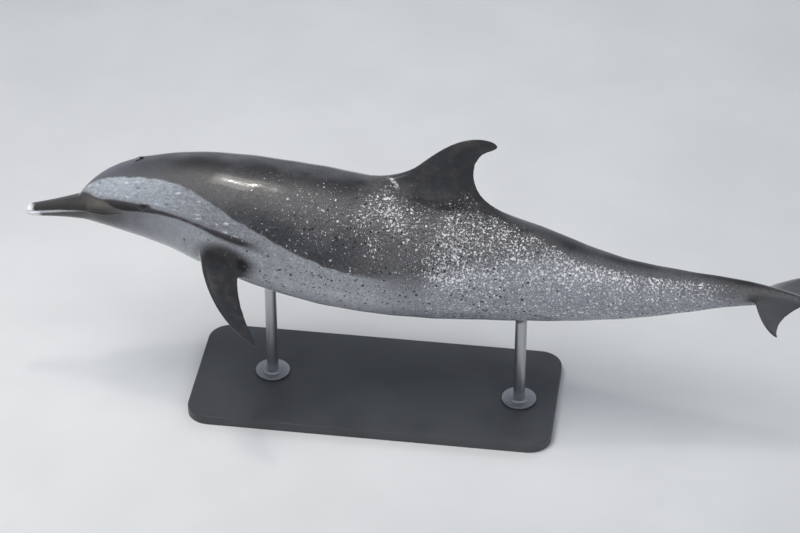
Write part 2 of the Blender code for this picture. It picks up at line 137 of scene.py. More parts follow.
def piece(name, points, faces, material, slot, nodes, sharp=None):
    """Makes a smooth-shaded mesh piece that rides on the model and replaces CAD nodes."""
    mesh = bpy.data.meshes.new(name)
    mesh.from_pydata([tuple(map(float, p)) for p in points], [], faces)
    solid = bmesh.new()
    solid.from_mesh(mesh)
    bmesh.ops.recalc_face_normals(solid, faces=solid.faces)
    solid.to_mesh(mesh)
    solid.free()
    mesh.shade_smooth()
    mesh.materials.append(material)
    made = add_object(name, mesh)
    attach(made, "root")
    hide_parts(*nodes)
    if sharp:
        mesh.set_sharp_from_angle(angle=math.radians(sharp))
    return made


def loft(rows):
    """Points and faces of a closed piece through rows of points, capped at both ends."""
    count = len(rows[0])
    points = [point for row in rows for point in row]
    rings = [range(start, start + count) for start in range(0, len(points), count)]
    faces = []
    for one, other in zip(rings, rings[1:]):
        for k in range(count):
            after = (k + 1) % count
            faces.append((one[k], one[after], other[after], other[k]))
    return points, faces + [tuple(rings[0]), tuple(rings[-1])]


base_paint, tree = new_finish("charcoal_paint")
place = put("TexCoord").outputs["Object"]
cloudy = grain(place, 6.0, 4.0)
peel = relief(grain(place, 90.0, 2.0), 0.00012, 0.6)
paint = layers((60, 62, 65), (cloudy, 0.3, 0.7, (70, 72, 75)))
dress({"Base Color": paint, "Roughness": step(cloudy, 0.2, 0.8, 0.36, 0.46), "Normal": peel})

low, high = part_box("stand_base")
half_x, half_y = (high[0] - low[0]) / 2 - BASE_CORNER, (high[1] - low[1]) / 2 - BASE_CORNER
profile = [(BASE_CORNER, low[2])]
for turn in np.linspace(0, math.pi / 2, EDGE_STEPS + 1):
    inset, drop = BASE_EDGE * (1 - math.cos(turn)), BASE_EDGE * (1 - math.sin(turn))
    profile.append((BASE_CORNER - inset, high[2] - drop))
rows = []
for out, z in profile:
    row = []
    for quarter, (sx, sy) in enumerate(((1, 1), (-1, 1), (-1, -1), (1, -1))):
        for share in np.linspace(0, 1, CORNER_STEPS + 1):
            turn = (quarter + share) * math.pi / 2
            row.append((sx * half_x + out * math.cos(turn), sy * half_y + out * math.sin(turn), z))
    rows.append(row)
piece("base_plate", *loft(rows), base_paint, "stand_paint", ["stand_base"], sharp=50)

# ======== collars
# Each of the two rods stands in a turned collar of brushed steel, with a wide foot and a
# raised neck, that is bolted to the base from below.

ROUND_STEPS = 64
ROD_RADIUS, ROD_CLEAR = 0.015, 0.0004  # of a rod, and between it and its collar
COLLAR_RADIUS, COLLAR_FOOT = 0.045, 0.008  # of the wide foot, and its height
COLLAR_NECK, TURNED_EDGE = 0.026, 0.0012  # radius of the raised neck, and size of the edges
BRUSH_LINES = (900.0, 900.0, 9.0)  # the grain is drawn out along the rods


def mapped(place, **how):
    """A place that is moved by a Location or stretched by a Scale."""
    return put("Mapping", {"Vector": place} | how).outputs[0]


rod_steel, tree = new_finish("brushed_steel")
place = put("TexCoord").outputs["Object"]
brushed = grain(mapped(place, Scale=BRUSH_LINES), 1.0, 2.0)
smudge = step(grain(place, 7.0, 2.0), 0.3, 0.75, 0.34, 0.42)
steel = layers((170, 172, 175), (brushed, (194, 196, 199)))
lines = relief(brushed, 0.00002, 0.3)
dress({"Metallic": 1.0, "Base Color": steel, "Roughness": smudge, "Normal": lines})


def full_turn(count):
    """Even angles of a full turn."""
    return np.arange(count) * 2 * math.pi / count


def turned(section, centre, over=lambda x, y: 0.0):
    """Rows of a round piece, from (radius, height over a surface) pairs of its section."""
    rows = []
    for out, z in section:
        turns = full_turn(ROUND_STEPS)
        spots = [(centre[0] + out * math.cos(a), centre[1] + out * math.sin(a)) for a in turns]
        rows.append([(x, y, over(x, y) + z) for x, y in spots])
    return rows


rod_feet = {}
for end in ("front", "rear"):
    low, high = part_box("stand_collar_" + end)
    centre = ((low[0] + high[0]) / 2, (low[1] + high[1]) / 2)
    rod_feet[end] = (centre, high[2])
    foot_top = low[2] + COLLAR_FOOT
    section = [
        (COLLAR_RADIUS - TURNED_EDGE, low[2]),
        (COLLAR_RADIUS, low[2] + TURNED_EDGE),
        (COLLAR_RADIUS, foot_top - TURNED_EDGE),
        (COLLAR_RADIUS - TURNED_EDGE, foot_top),
        (COLLAR_NECK + TURNED_EDGE, foot_top + TURNED_EDGE / 2),
        (COLLAR_NECK, foot_top + 2 * TURNED_EDGE),
        (COLLAR_NECK, high[2] - TURNED_EDGE),
        (COLLAR_NECK - TURNED_EDGE, high[2]),
        (ROD_RADIUS + ROD_CLEAR, high[2]),
    ]
    rows, nodes = turned(section, centre), ["stand_collar_" + end]
    piece("collar_" + end, *loft(rows), rod_steel, "stand_steel", nodes, sharp=50)

# ======== body skin
# One skin covers the animal from beak to flukes, smooth, rubbery and wet, and here cast in one
# piece. It is drawn straight, as rings along the axis with the fins grown out of it, then bent
# into its pose and leaned over.

LENGTH = 2.0  # of the body's axis, before the beak is drawn out in front
AXIS_HEIGHT, BANK = 0.47, math.radians(15)  # of the axis over the floor, and lean to +Y
# Place along the axis, height of the back, depth of the belly and half width, in per cent of
# the length: of the body, and of the beak that runs into it.
BODY = (
    (5.6, 0.20, 0.20, 0.20), (6.75, 1.70, 1.10, 1.10), (8.0, 2.95, 1.80, 2.30),
    (10.0, 4.35, 2.50, 3.50), (12.5, 5.45, 3.30, 4.35), (15.5, 6.25, 4.20, 5.00),
    (18.5, 6.85, 5.10, 5.65), (23.0, 7.50, 6.50, 6.60), (30.0, 8.20, 7.90, 7.55),
    (37.5, 8.60, 8.60, 7.90), (45.0, 8.50, 8.60, 7.70), (54.0, 7.80, 7.75, 6.85),
    (62.5, 6.85, 6.35, 5.50), (70.0, 5.45, 4.95, 4.10), (77.5, 3.65, 3.70, 2.85),
    (85.0, 2.40, 2.60, 1.80), (92.0, 1.50, 1.45, 1.10), (96.5, 0.90, 0.90, 0.90),
    (100.0, 0.25, 0.25, 0.35),
)
BEAK = (
    (0.0, 0.75, 0.75, 0.85), (2.0, 0.90, 0.95, 1.05), (4.0, 1.12, 1.20, 1.30),
    (6.75, 1.55, 1.65, 1.85), (10.0, 1.90, 2.40, 2.35), (14.0, 2.10, 3.50, 2.80),
    (20.0, 1.50, 3.50, 2.50),
)
BODY_SQUARENESS, BEAK_SQUARENESS = 2.15, 2.3  # powers of the sections
TIP_ROUND = 0.020  # length of the beak's rounded tip
CREASE_SOFT, THROAT_SOFT = 0.0025, 0.012  # how softly the beak runs into forehead and throat
CREASE_FOOT = -0.2  # sine of the angle under which there is no crease
# Pitch and turn of the axis: place in per cent, and degrees.
PITCH = ((0, 9.5), (14, 3.5), (25, -6.8), (35, -8.0), (47, -6.0))
PITCH += ((58, -6.5), (68, -5.5), (78, 3.0), (90, 5.5), (100, 1.0))
TURN = ((0, -3.0), (50, 1.0), (80, 4.0), (100, 17.0))
PIVOT = 0.9  # place of the axis over the middle of the stand
AXIS_AHEAD, AXIS_STEPS = 0.03, 407  # its room ahead of the beak, and the places worked out
DRAW_FROM, DRAW = 0.135, 0.09  # the beak is drawn out before this place, by this share
TAIL_END, TAIL_SHARE = 1.98, 0.35  # where the body rounds off, and what is left of its length
TAIL_FLAT = 0.96  # how much of the square of its radius it loses there


def spline(knots, values):
    """A natural cubic curve through values at knots, as a function of an array."""
    x, y = np.array(knots, float), np.array(values, float)
    h = np.diff(x)
    slope = np.diff(y) / h
    size = len(x)
    a, b = np.eye(size), np.zeros(size)
    for i in range(1, size - 1):
        a[i, i - 1 : i + 2] = h[i - 1], 2 * (h[i - 1] + h[i]), h[i]
        b[i] = 6 * (slope[i] - slope[i - 1])
    bend = np.linalg.solve(a, b)

    def curve(at):
        at = np.clip(np.asarray(at, float), x[0], x[-1])
        i = np.clip(np.searchsorted(x, at, side="right") - 1, 0, size - 2)
        t, u = at - x[i], x[i + 1] - at
        ends = (bend[i] * u**3 + bend[i + 1] * t**3) / (6 * h[i])
        near = (y[i] / h[i] - bend[i] * h[i] / 6) * u
        return ends + near + (y[i + 1] / h[i] - bend[i + 1] * h[i] / 6) * t

    return curve


def ease(value, low, high):
    """A smooth step from 0 at low to 1 at high."""
    t = np.clip((value - low) / (high - low), 0, 1)
    return t * t * (3 - 2 * t)


def between(value, low, low_end, high, high_end):
    """A smooth step up from low to low_end, and down again from high to high_end."""
    return ease(value, low, low_end) * (1 - ease(value, high, high_end))


def bell(value, middle, width):
    """A smooth bump, 1 at the middle."""
    return np.exp(-(((value - middle) / width) ** 2))


def unit(vectors):
    """Vectors brought to length 1."""
    return vectors / np.linalg.norm(vectors, axis=-1, keepdims=True)


def half_turn(angles):
    """Angles brought to between minus and plus half a turn."""
    return (angles + math.pi) % (2 * math.pi) - math.pi


def soft_over(excess, soft):
    """What a shape adds where it stands over another one, run out softly at their meeting."""
    near = np.clip(0.5 + 0.5 * excess / soft, 0, 1)
    return excess * near + soft * near * (1 - near)


def metres(shares):
    """Metres, from per cent of the length."""
    return shares * LENGTH / 100


def section_curves(table):
    """Back, belly and half width in metres, along the axis."""
    columns = metres(np.array(table))
    return [spline(columns[:, 0], columns[:, k]) for k in (1, 2, 3)]


BODY_CURVES, BEAK_CURVES = section_curves(BODY), section_curves(BEAK)
BODY_START, BEAK_END = metres(BODY[0][0]), metres(BEAK[-1][0])


def reach(curves, along, angle, power):
    """Distance from the axis to one shape's skin. Angle 0 is the right side, 90 the back."""
    back, belly, side = (np.maximum(curve(along), 1e-4) for curve in curves)
    rise, run = np.sin(angle), np.cos(angle)
    height = np.where(rise >= 0, back, belly)
    return (np.abs(run / side) ** power + np.abs(rise / height) ** power) ** (-1 / power)


def head_and_beak(along, angle):
    """The radii of the two shapes that the head is blended from."""
    trunk = reach(BODY_CURVES, along, angle, BODY_SQUARENESS)
    beak = reach(BEAK_CURVES, along, angle, BEAK_SQUARENESS)
    tip = np.clip(along / TIP_ROUND, 0, 1)
    beak = beak * np.sqrt(np.maximum(1 - (1 - tip) ** 2, 0))
    return np.where(along < BODY_START, 0, trunk), np.where(along > BEAK_END, 0, beak)


def radius(along, angle):
    """Distance from the axis to the skin, with a soft crease between forehead and beak."""
    along, angle = np.broadcast_arrays(np.asarray(along, float), np.asarray(angle, float))
    trunk, beak = head_and_beak(along, angle)
    soft = np.where(np.sin(angle) > CREASE_FOOT, CREASE_SOFT, THROAT_SOFT)
    return beak + soft_over(trunk - beak, soft)


GAPE, GAPE_RISE = 0.266, 0.0045  # where the mouth's line ends, and how far it turns up there
MOUTH_DEPTH, MOUTH_WIDTH = 0.0018, 0.0012
LIP_HEIGHT, LIP_PLACE, LIP_WIDTH = 0.0008, 0.0040, 0.0022
CREASE_DEPTH, CREASE_WIDTH = 0.0011, 0.0035
EAR_ANGLE = math.radians(10.5)  # over the side
# Small forms of the skin: height, what it runs across, where on that and how wide, and where
# along the body: the middle and the width, or the ends between which it comes and goes.
FORMS = (
    (-0.0016, "ear", 0, 0.0024, (0.368, 0.0028)),  # ear openings
    (-0.0022, "under", 0, 0.0050, (0.955, 0.011)),  # navel
    (-0.0035, "under", 0, 0.0055, (1.235, 1.255, 1.325, 1.345)),  # slit
    (0.0016, "under", 0.013, 0.009, (1.290, 0.055)),  # the slit's lips
    (-0.0022, "under", 0, 0.0055, (1.425, 0.009)),  # vent
    (0.0032, "keel", 1, 0.075, (1.20, 1.62, 1.84, 1.95)),  # ridges of the tail stock
    (-0.0022, "side", 0.05, 0.30, (1.15, 1.5, 1.6, 1.85)),  # hollow sides of the tail stock
    (0.0016, "rise", -0.018, 0.016, (0.235, 0.035)),  # cheek
)
SWELL = 0.00028  # of the muscle under the skin, in waves along and round the body
SWELL_WAVES = ((23, 2, 0), (41, -3, 1), (67, 5, 2))


def mouth_line(along, rise):
    """Height over the line of the mouth, and how much of the line there is."""
    away = rise - GAPE_RISE * ease(along, 0.20, GAPE)
    return away, between(along, 0.001, 0.010, GAPE - 0.008, GAPE)


def relief_at(along, angle):
    """The small forms of the skin, in metres outwards."""
    along, angle = np.broadcast_arrays(np.asarray(along, float), np.asarray(angle, float))
    r = radius(along, angle)
    rise, sine = r * np.sin(angle), np.sin(angle)
    away, share = mouth_line(along, rise)
    out = LIP_HEIGHT * bell(np.abs(away), LIP_PLACE, LIP_WIDTH)
    out = (out - MOUTH_DEPTH * bell(away, 0, MOUTH_WIDTH)) * share
    trunk, beak = head_and_beak(along, angle)
    out = out - CREASE_DEPTH * bell(trunk - beak, 0, CREASE_WIDTH) * ease(sine, CREASE_FOOT, 0.25)
    waves = sum(np.sin(a * along + b * angle + c) for a, b, c in SWELL_WAVES)
    out = out + SWELL * waves * between(along, 0.20, 0.45, 1.75, 1.95)
    over_side = np.abs((angle + math.pi / 2) % math.pi - math.pi / 2) - EAR_ANGLE
    under = r * np.abs(half_turn(angle + math.pi / 2))
    across = {"ear": np.where(sine > 0, r * over_side, 1), "under": under}
    across |= {"keel": np.abs(sine), "side": sine, "rise": rise}
    for height, name, middle, width, ends in FORMS:
        window = (bell if len(ends) == 2 else between)(along, *ends)
        out = out + height * bell(across[name], middle, width) * window
    return out


def skin_point(along, angle):
    """Points of the straight animal's skin: x along the axis from the beak's tip, z up."""
    r = radius(along, angle) + relief_at(along, angle)
    along, angle = np.broadcast_to(along, r.shape), np.broadcast_to(angle, r.shape)
    past = np.clip((along - TAIL_END) / (LENGTH - TAIL_END), 0, 1)
    r = r * np.sqrt(1 - TAIL_FLAT * past**2)
    x = along - past * (LENGTH - TAIL_END) * (1 - TAIL_SHARE)
    return np.stack([x, r * np.cos(angle), r * np.sin(angle)], -1)


def skin_normals(along, angle):
    """Outward directions of the straight animal's plain skin."""

    def plain(s, a):
        r = radius(s, a)
        return np.stack([np.broadcast_to(s, r.shape), r * np.cos(a), r * np.sin(a)], -1)

    small = 1e-4
    length_way = plain(along + small, angle) - plain(along - small, angle)
    round_way = plain(along, angle + small) - plain(along, angle - small)
    return unit(np.cross(round_way, length_way))


def posed(points):
    """Points of the straight animal, bent, leaned and lifted to where they are in the model."""
    points = np.asarray(points, float)
    steps = np.linspace(-AXIS_AHEAD, LENGTH, AXIS_STEPS)
    bends = (spline(*zip(*table, strict=True))(steps * 100 / LENGTH) for table in (PITCH, TURN))
    pitch, turn = np.radians(list(bends))
    flat = [np.cos(pitch) * np.cos(turn), -np.cos(pitch) * np.sin(turn), np.sin(pitch)]
    ahead = np.stack(flat, -1)
    side = np.stack([np.sin(turn), np.cos(turn), np.zeros_like(turn)], -1)
    middle = (ahead[1:] + ahead[:-1]) / 2 * np.diff(steps)[:, None]
    place = np.vstack([np.zeros(3), np.cumsum(middle, 0)])
    place -= [np.interp(PIVOT, steps, place[:, k]) for k in range(3)]
    along = points[:, 0] - DRAW * np.maximum(DRAW_FROM - points[:, 0], 0)

    def at(values):
        return np.stack([np.interp(along, steps, values[:, k]) for k in range(3)], -1)

    bent = at(place) + at(side) * points[:, 1:2] + at(np.cross(ahead, side)) * points[:, 2:3]
    return bent @ np.array(Matrix.Rotation(-BANK, 3, "X")).T + [0, 0, AXIS_HEIGHT]


COLUMNS = 128  # points round each ring; column 0 is on the right side
TOP, LEFT, FAN = COLUMNS // 4, COLUMNS // 2, COLUMNS // 32  # and half a thin root's columns
CROWD, CROWD_ENDS = 0.8, (0.33, 0.455)  # the head's columns crowd towards the mouth's line
# The roots of the fins start and end on ends of stretches of rings.
FLIPPER_ROOT, DORSAL_ROOT, FLUKE_ROOT = (0.465, 0.615), (0.8211765, 1.2888235), (1.82, 1.98)
# Stretches of rings: where each ends, its number of rings, and how they crowd to its start.
STRETCHES = ((0.100, 42, 1.5), (0.160, 40, 1), (0.380, 100, 1), (FLIPPER_ROOT[0], 19, 1))
STRETCHES += ((FLIPPER_ROOT[1], 30, 1), (DORSAL_ROOT[0], 31, 1), (DORSAL_ROOT[1], 80, 1))
STRETCHES += ((FLUKE_ROOT[0], 80, 1), (FLUKE_ROOT[1], 40, 1), (LENGTH, 8, 0.5))


class Surface:
    """The skin in the making: straight points, their places on the body, and faces."""

    def __init__(self):
        self.points, self.spots, self.blade, self.faces, self.island = [], [], [], [], []
        self.count = 0

    def add(self, points, spots=None, blade=0.0):
        """Adds points. Their spots are (along, angle) on the body, and none on a fin."""
        points = np.asarray(points, float)
        block = points.reshape(-1, 3)
        numbers = self.count + np.arange(len(block)).reshape(points.shape[:-1])
        if spots is None:
            spots = np.stack([block[:, 0], np.arctan2(block[:, 2], block[:, 1])], -1)
        self.points.append(block)
        self.spots.append(np.asarray(spots, float).reshape(-1, 2))
        self.blade.append(np.full(len(block), blade))
        self.count += len(block)
        return numbers

    def face(self, corners, island="body"):
        """Adds a face, on an island of the colour map."""
        self.faces.append(tuple(int(c) for c in corners))
        self.island.append(island)

    def grow(self, before, points, spots=None, blade=0.0, islands=None):
        """Adds a closed row of points, and joins it with quads to the row before it."""
        row = self.add(points, spots, blade)
        for k in range(len(row)):
            after = (k + 1) % len(row)
            corners = (before[k], before[after], row[after], row[k])
            self.face(corners, islands[k] if islands else "body")
        return row

    def ladder(self, loop, long, wide, islands):
        """Closes the end of a blade, with rungs from one of its sides to the other."""
        one, other = loop[: long + 1], loop[long + wide : 2 * long + wide + 1][::-1]
        for k in range(long):
            self.face((one[k], one[k + 1], other[k + 1], other[k]), islands[k])
        for end in (loop[long : long + wide + 1], np.append(loop[2 * long + wide :], loop[0])):
            for k in range(1, wide):
                self.face((end[0], end[k], end[k + 1]), islands[0])


EDGE, EDGE_ROUND = 0.0012, 0.35  # half thickness of a fin's edge, and its rounding
RAGGED = 0.0005  # waves of a fin's rear edge
# Half thickness of the aerofoil, from powers of the share of the chord.
AEROFOIL = ((2.969, 0.5), (-1.26, 1), (-3.516, 2), (2.843, 3), (-1.036, 4))
FILLET_STEPS, SPREAD = 11, 0.5  # loops from the body to a blade, and how far the root spreads
NOSE, HEEL = math.radians(24), math.radians(14)  # outline angles at a blade's corners
BLADE_STEPS, BLADE_CROWD = 26, 1.5  # loops of a blade, and how they crowd to its tip
BLADE_END = 0.998  # share of its span where the last loop lies
TIP_SHARE = 0.92  # share of a blade's span from which its end rounds off


def bezier(points, t):
    """A point of a cubic Bezier curve in the plane of a fin."""
    a, b, c, d = np.array(points, float)
    return (1 - t) ** 3 * a + 3 * (1 - t) ** 2 * t * b + 3 * (1 - t) * t**2 * c + t**3 * d


class Fin:
    """A blade with an aerofoil section, and the patch of the body that it grows from.

    The edges are Bezier curves from root to tip, in metres along the chord and the span. The
    blade is as thick as a share of its chord, and is free of the body from a share of its span.
    """

    def __init__(self, name, patch, root, chord, span, leading, trailing, thick, foot):
        self.name = name
        self.first, self.last, self.low, self.high = patch
        self.root = np.array(root, float)
        self.chord = np.array(Vector(chord).normalized())
        self.across = np.array(Vector(np.cross(self.chord, span)).normalized())
        self.span = np.cross(self.across, self.chord)
        self.leading, self.trailing = leading, trailing
        self.thick, self.foot = thick, foot

    def loop(self, t, turns):
        """The blade's section at share t of its span, at angles round its outline."""
        front, rear = bezier(self.leading, t), bezier(self.trailing, t)
        past = max(t - TIP_SHARE, 0) / (1 - TIP_SHARE)
        narrow = (1 - math.sqrt(max(1 - past**2, 0))) / 2
        front, rear = front + (rear - front) * narrow, rear + (front - rear) * narrow
        share = (1 - np.cos(turns)) / 2
        flat = front + share[:, None] * (rear - front)
        waves = (math.sin(61 * t) + math.sin(37 * t + 2)) * between(t, 0.3, 0.5, 0.8, 0.92)
        flat[:, 0] += RAGGED * waves * share**6
        wing = sum(factor * share**power for factor, power in AEROFOIL)
        edge = EDGE * np.abs(np.sin(turns)) ** EDGE_ROUND
        half = (np.linalg.norm(rear - front) * self.thick * wing + edge) * np.sign(np.sin(turns))
        out = flat[:, :1] * self.chord + flat[:, 1:] * self.span + half[:, None] * self.across
        return self.root + out

    def turns(self, long, wide, sign):
        """Outline angles of the blade's points, side, heel, other side and nose."""
        legs = (
            np.linspace(NOSE, math.pi - HEEL, long + 1),
            np.linspace(math.pi - HEEL, math.pi + HEEL, wide + 1)[1:-1],
            np.linspace(math.pi + HEEL, 2 * math.pi - NOSE, long + 1),
            np.linspace(-NOSE, NOSE, wide + 1)[1:-1],
        )
        return sign * np.concatenate(legs)

    def fillet(self, border, normals, turns):
        """Loops from the border of the patch, which is left out, to the foot of the blade."""
        foot = self.loop(self.foot, turns)
        leave = unit(self.loop(self.foot + 0.01, turns) - foot)
        gap = foot - border
        size = np.linalg.norm(gap, axis=1)[:, None]
        start = gap - normals * (gap * normals).sum(1)[:, None]
        start /= np.linalg.norm(start, axis=1)[:, None] + 1e-9
        loops = []
        for t in np.linspace(0, 1, FILLET_STEPS + 1)[1:]:
            along = (t**3 - 2 * t**2 + t) * SPREAD * start + (t**3 - t**2) * leave
            loops.append(border + (3 * t**2 - 2 * t**3) * gap + along * size)
        return loops


dorsal = Fin(
    "dorsal", (*DORSAL_ROOT, TOP - FAN, TOP + FAN), root=(0.935, 0, 0.163),
    chord=(1, 0, -0.09), span=(0, 0, 1), thick=0.080, foot=0.26,
    leading=((-0.018, 0), (0.057, 0.097), (0.116, 0.203), (0.217, 0.181)),
    trailing=((0.256, 0), (0.142, 0.062), (0.162, 0.150), (0.208, 0.162)),
)
FINS = [dorsal]
for side, low in ((1, COLUMNS - 4 * FAN), (-1, LEFT + 2 * FAN)):  # right, then left
    flipper = Fin(
        "flipper", (*FLIPPER_ROOT, low, low + 2 * FAN), root=(0.468, 0.104 * side, -0.072),
        chord=(1, 0, -0.16), span=(0, 0.77 * side, -0.64), thick=0.085, foot=0.22,
        leading=((0, 0), (0.040, 0.090), (0.115, 0.170), (0.236, 0.200)),
        trailing=((0.112, 0), (0.118, 0.055), (0.158, 0.125), (0.228, 0.189)),
    )
    FINS.append(flipper)
for side, low in ((1, -4 * FAN), (-1, LEFT - 4 * FAN)):
    fluke = Fin(
        "fluke", (*FLUKE_ROOT, low, low + 8 * FAN), root=(1.848, 0.004 * side, 0),
        chord=(1, 0, 0), span=(0, side, -0.06), thick=0.065, foot=0.24,
        leading=((0.016, 0), (0.046, 0.080), (0.082, 0.188), (0.154, 0.233)),
        trailing=((0.166, 0), (0.152, 0.032), (0.104, 0.128), (0.149, 0.222)),
    )
    FINS.append(fluke)

skin = Surface()
places, start = [], 0.0
for end, rings, crowd in STRETCHES:
    places.append(start + (end - start) * np.linspace(0, 1, rings + 1)[1:] ** crowd)
    start = end
places = np.concatenate(places)
turn = full_turn(COLUMNS)
angles = turn - CROWD / 2 * (1 - ease(places, *CROWD_ENDS))[:, None] * np.sin(2 * turn)
spots = np.stack([np.broadcast_to(places[:, None], angles.shape), angles], -1)
grid = skin.add(skin_point(places[:, None], angles), spots)
covered = set()


def open_patch(rows, columns):
    """Takes a patch out of the grid: its border's point numbers, places and angles.

    They run along one side, the heel, the other side and the nose.
    """
    covered.update((i, j % COLUMNS) for i in rows[:-1] for j in columns[:-1])
    one, other = [(i, columns[0]) for i in rows], [(i, columns[-1]) for i in reversed(rows)]
    heel = [(rows[-1], j) for j in columns[1:-1]]
    nose = [(rows[0], j) for j in reversed(columns[1:-1])]
    i, j = np.array(one + heel + other + nose).T
    return grid[i, j % COLUMNS], places[i], angles[i, j % COLUMNS]


for number, fin in enumerate(FINS):
    rows = [i for i, s in enumerate(places) if fin.first - 1e-6 <= s <= fin.last + 1e-6]
    columns = list(range(fin.low, fin.high + 1))
    long, wide = len(rows) - 1, len(columns) - 1
    before, along, angle = open_patch(rows, columns)
    edge = skin_point(along, angle)
    lean = (edge[: long + 1].mean(0) - edge[long + wide : -1].mean(0)) @ fin.across
    turns = fin.turns(long, wide, math.copysign(1, lean))
    middles = np.sin((turns + np.append(turns[1:], turns[:1] + np.sign(lean) * 2 * math.pi)) / 2)
    islands = [f"{number}{'+' if s > 0 else '-'}" for s in middles]
    for count, loop in enumerate(fin.fillet(edge, skin_normals(along, angle), turns), start=1):
        share = ease(count / FILLET_STEPS, 0, 1) / 2
        before = skin.grow(before, loop, blade=share, islands=islands)
    shares = 1 - (1 - np.arange(1, BLADE_STEPS + 1) / BLADE_STEPS) ** BLADE_CROWD
    for t in fin.foot + (BLADE_END - fin.foot) * shares:
        loop = fin.loop(t, turns)
        before = skin.grow(before, loop, blade=0.5 + 0.5 * t, islands=islands)
    skin.ladder(before, long, wide, islands)


def patch_round(spot, halves):
    """Opens a patch round a spot: its border's point numbers and spots, and the radius there."""
    level = radius(*spot)
    mid = np.argmin(np.abs(places - spot[0]))
    rows = np.nonzero(np.abs(places - places[mid]) <= halves[0])[0]
    columns = np.nonzero(np.abs((angles[mid] - spot[1]) * level) <= halves[1])[0]
    before, along, angle = open_patch(list(rows), list(columns))
    return before, np.stack([along, angle], -1), level


# The lids: the skin round each eye runs in loops to an almond-shaped opening, bulges over the
# ball, has a fold over and under it, and turns in behind its margin to line the socket.
EYE_PLACE, EYE_ANGLE = 0.314, math.radians(15.5)  # along the axis, and above the side
EYE_RADIUS, EYE_DEPTH = 0.0135, 0.0105  # of the ball, and of its centre under the skin
EYE_PATCH = (0.025, 0.023)  # half the patch that the loops replace, along and round the head
OPENING = (0.0112, 0.0056, 0.0048)  # half length, upper half height and lower half height
OPENING_TILT, OPENING_POINT = math.radians(4), 1.3  # its lean, and how pointed its ends are
LID_LOOPS, LID_CROWD = 18, 1.35  # their number, and how they crowd to the margin
LID_THICK, LID_CLEAR = 0.0017, 0.00035  # over the ball: outer skin, and the margin's inside
LID_SOFT = 0.0035  # how softly the bulge of the lids runs out
# Height, distance from the margin and width of the folds, and how much of each is under the eye.
LID_FOLDS = ((-0.0007, 0.0052, 0.0012, 0.45), (0.0004, 0.0026, 0.0016, 1))
LID_FOLDS += ((-0.00035, 0.0092, 0.0016, 0), (0.0003, 0, 0.0009, 1))
# The margin turns in: shift along the ball, and share of the way in to it.
MARGINS = ((-0.00045, 0.25), (-0.00055, 0.7), (-0.00025, 1.0))
SOCKET_LOOPS, SOCKET_END = 7, math.radians(172)


def lid_bulge(points, normals, centre):
    """How far the skin stands out over the eyeball."""
    gap = points - centre
    lift = (gap * normals).sum(1)
    inside = (EYE_RADIUS + LID_THICK) ** 2 - (gap**2).sum(1) + lift**2
    bulge = -lift + np.sqrt(np.maximum(inside, 0)) - 0.03 * (inside < 0)
    return soft_over(bulge, LID_SOFT)


eye_spots, eye_centres = {}, {}
for side in (1, -1):
    eye = np.array([EYE_PLACE, EYE_ANGLE if side > 0 else math.pi - EYE_ANGLE])
    before, outer, level = patch_round(eye, EYE_PATCH)
    offset = (outer - eye) * [1, level * side]
    normal = skin_normals(*eye)
    centre = skin_point(*eye) - normal * EYE_DEPTH
    eye_spots[side], eye_centres[side] = eye, centre
    # Points of the opening lie at even turns of a flattened ring.
    turn = np.arctan2(offset[:, 1] * EYE_PATCH[0], offset[:, 0] * EYE_PATCH[1])
    u, rise = OPENING[0] * np.cos(turn), np.sin(turn)
    v = np.where(rise > 0, *OPENING[1:]) * np.sign(rise) * np.abs(rise) ** OPENING_POINT
    cosine, sine = math.cos(OPENING_TILT), math.sin(OPENING_TILT)
    rim = np.stack([u * cosine - v * sine, u * sine + v * cosine], -1)
    for k in range(1, LID_LOOPS + 1):
        t = 1 - (1 - k / LID_LOOPS) ** LID_CROWD
        flat = offset + (rim - offset) * t
        out = np.linalg.norm(flat - rim, axis=1)
        spot = flat / [1, level * side] + eye
        normals, base = skin_normals(*spot.T), skin_point(*spot.T)
        above = ease(flat[:, 1], -0.004, 0.004)
        fold = 0
        for height, away, width, under in LID_FOLDS:
            fold = fold + height * bell(out, away, width) * (under + (1 - under) * above)
        lift = lid_bulge(base, normals, centre) + fold * ease(t, 0.05, 0.25)
        points = base + normals * lift[:, None]
        before = skin.grow(before, points, spot)
    ray = points - centre
    size = np.linalg.norm(ray, axis=1)
    polar = np.arccos(np.clip(ray @ normal / size, -1, 1))
    flat_ray = unit(ray - np.outer(ray @ normal, normal))
    inner = EYE_RADIUS + LID_CLEAR
    rings = [(polar + shift / size, size + (inner - size) * share) for shift, share in MARGINS]
    for k in range(1, SOCKET_LOOPS):
        rings.append((polar + (SOCKET_END - polar) * k / SOCKET_LOOPS, inner))
    for lean, far in rings:
        out, aside = (far * np.cos(lean))[:, None], (far * np.sin(lean))[:, None]
        spot_in = spot + (eye - spot) * min(0.9, lean.mean() / 4)
        before = skin.grow(before, centre + out * normal + aside * flat_ray, spot_in)
    skin.face(before)

# The blowhole: one nostril on top of the head, a crescent with its horns towards the beak,
# between two firm lips. It is closed but for a narrow slot.
BLOW_PLACE, BLOW_PATCH = 0.291, (0.027, 0.034)
BLOW_HALF, BLOW_BOW, BLOW_OPEN = 0.0160, 0.0130, 0.0075  # half width, bow, and slot's width
BLOW_LOOPS, BLOW_CROWD = 12, 1.2
BLOW_DEPTHS, BLOW_NARROW = (0.0012, 0.003, 0.006, 0.010), (0.75, 0.12)  # narrower inside
# Height, distance from the slot and width of its lips and folds, and the hollow ahead of it.
BLOW_FOLDS = ((0.0016, 0.0035, 0.0035), (0.0010, 0.011, 0.008))
BLOW_FOLDS += ((-0.0009, 0.0078, 0.0018), (-0.0004, 0, 0.001))
BLOW_HOLLOW, BLOW_AHEAD = 0.0012, (-0.018, 0.008)

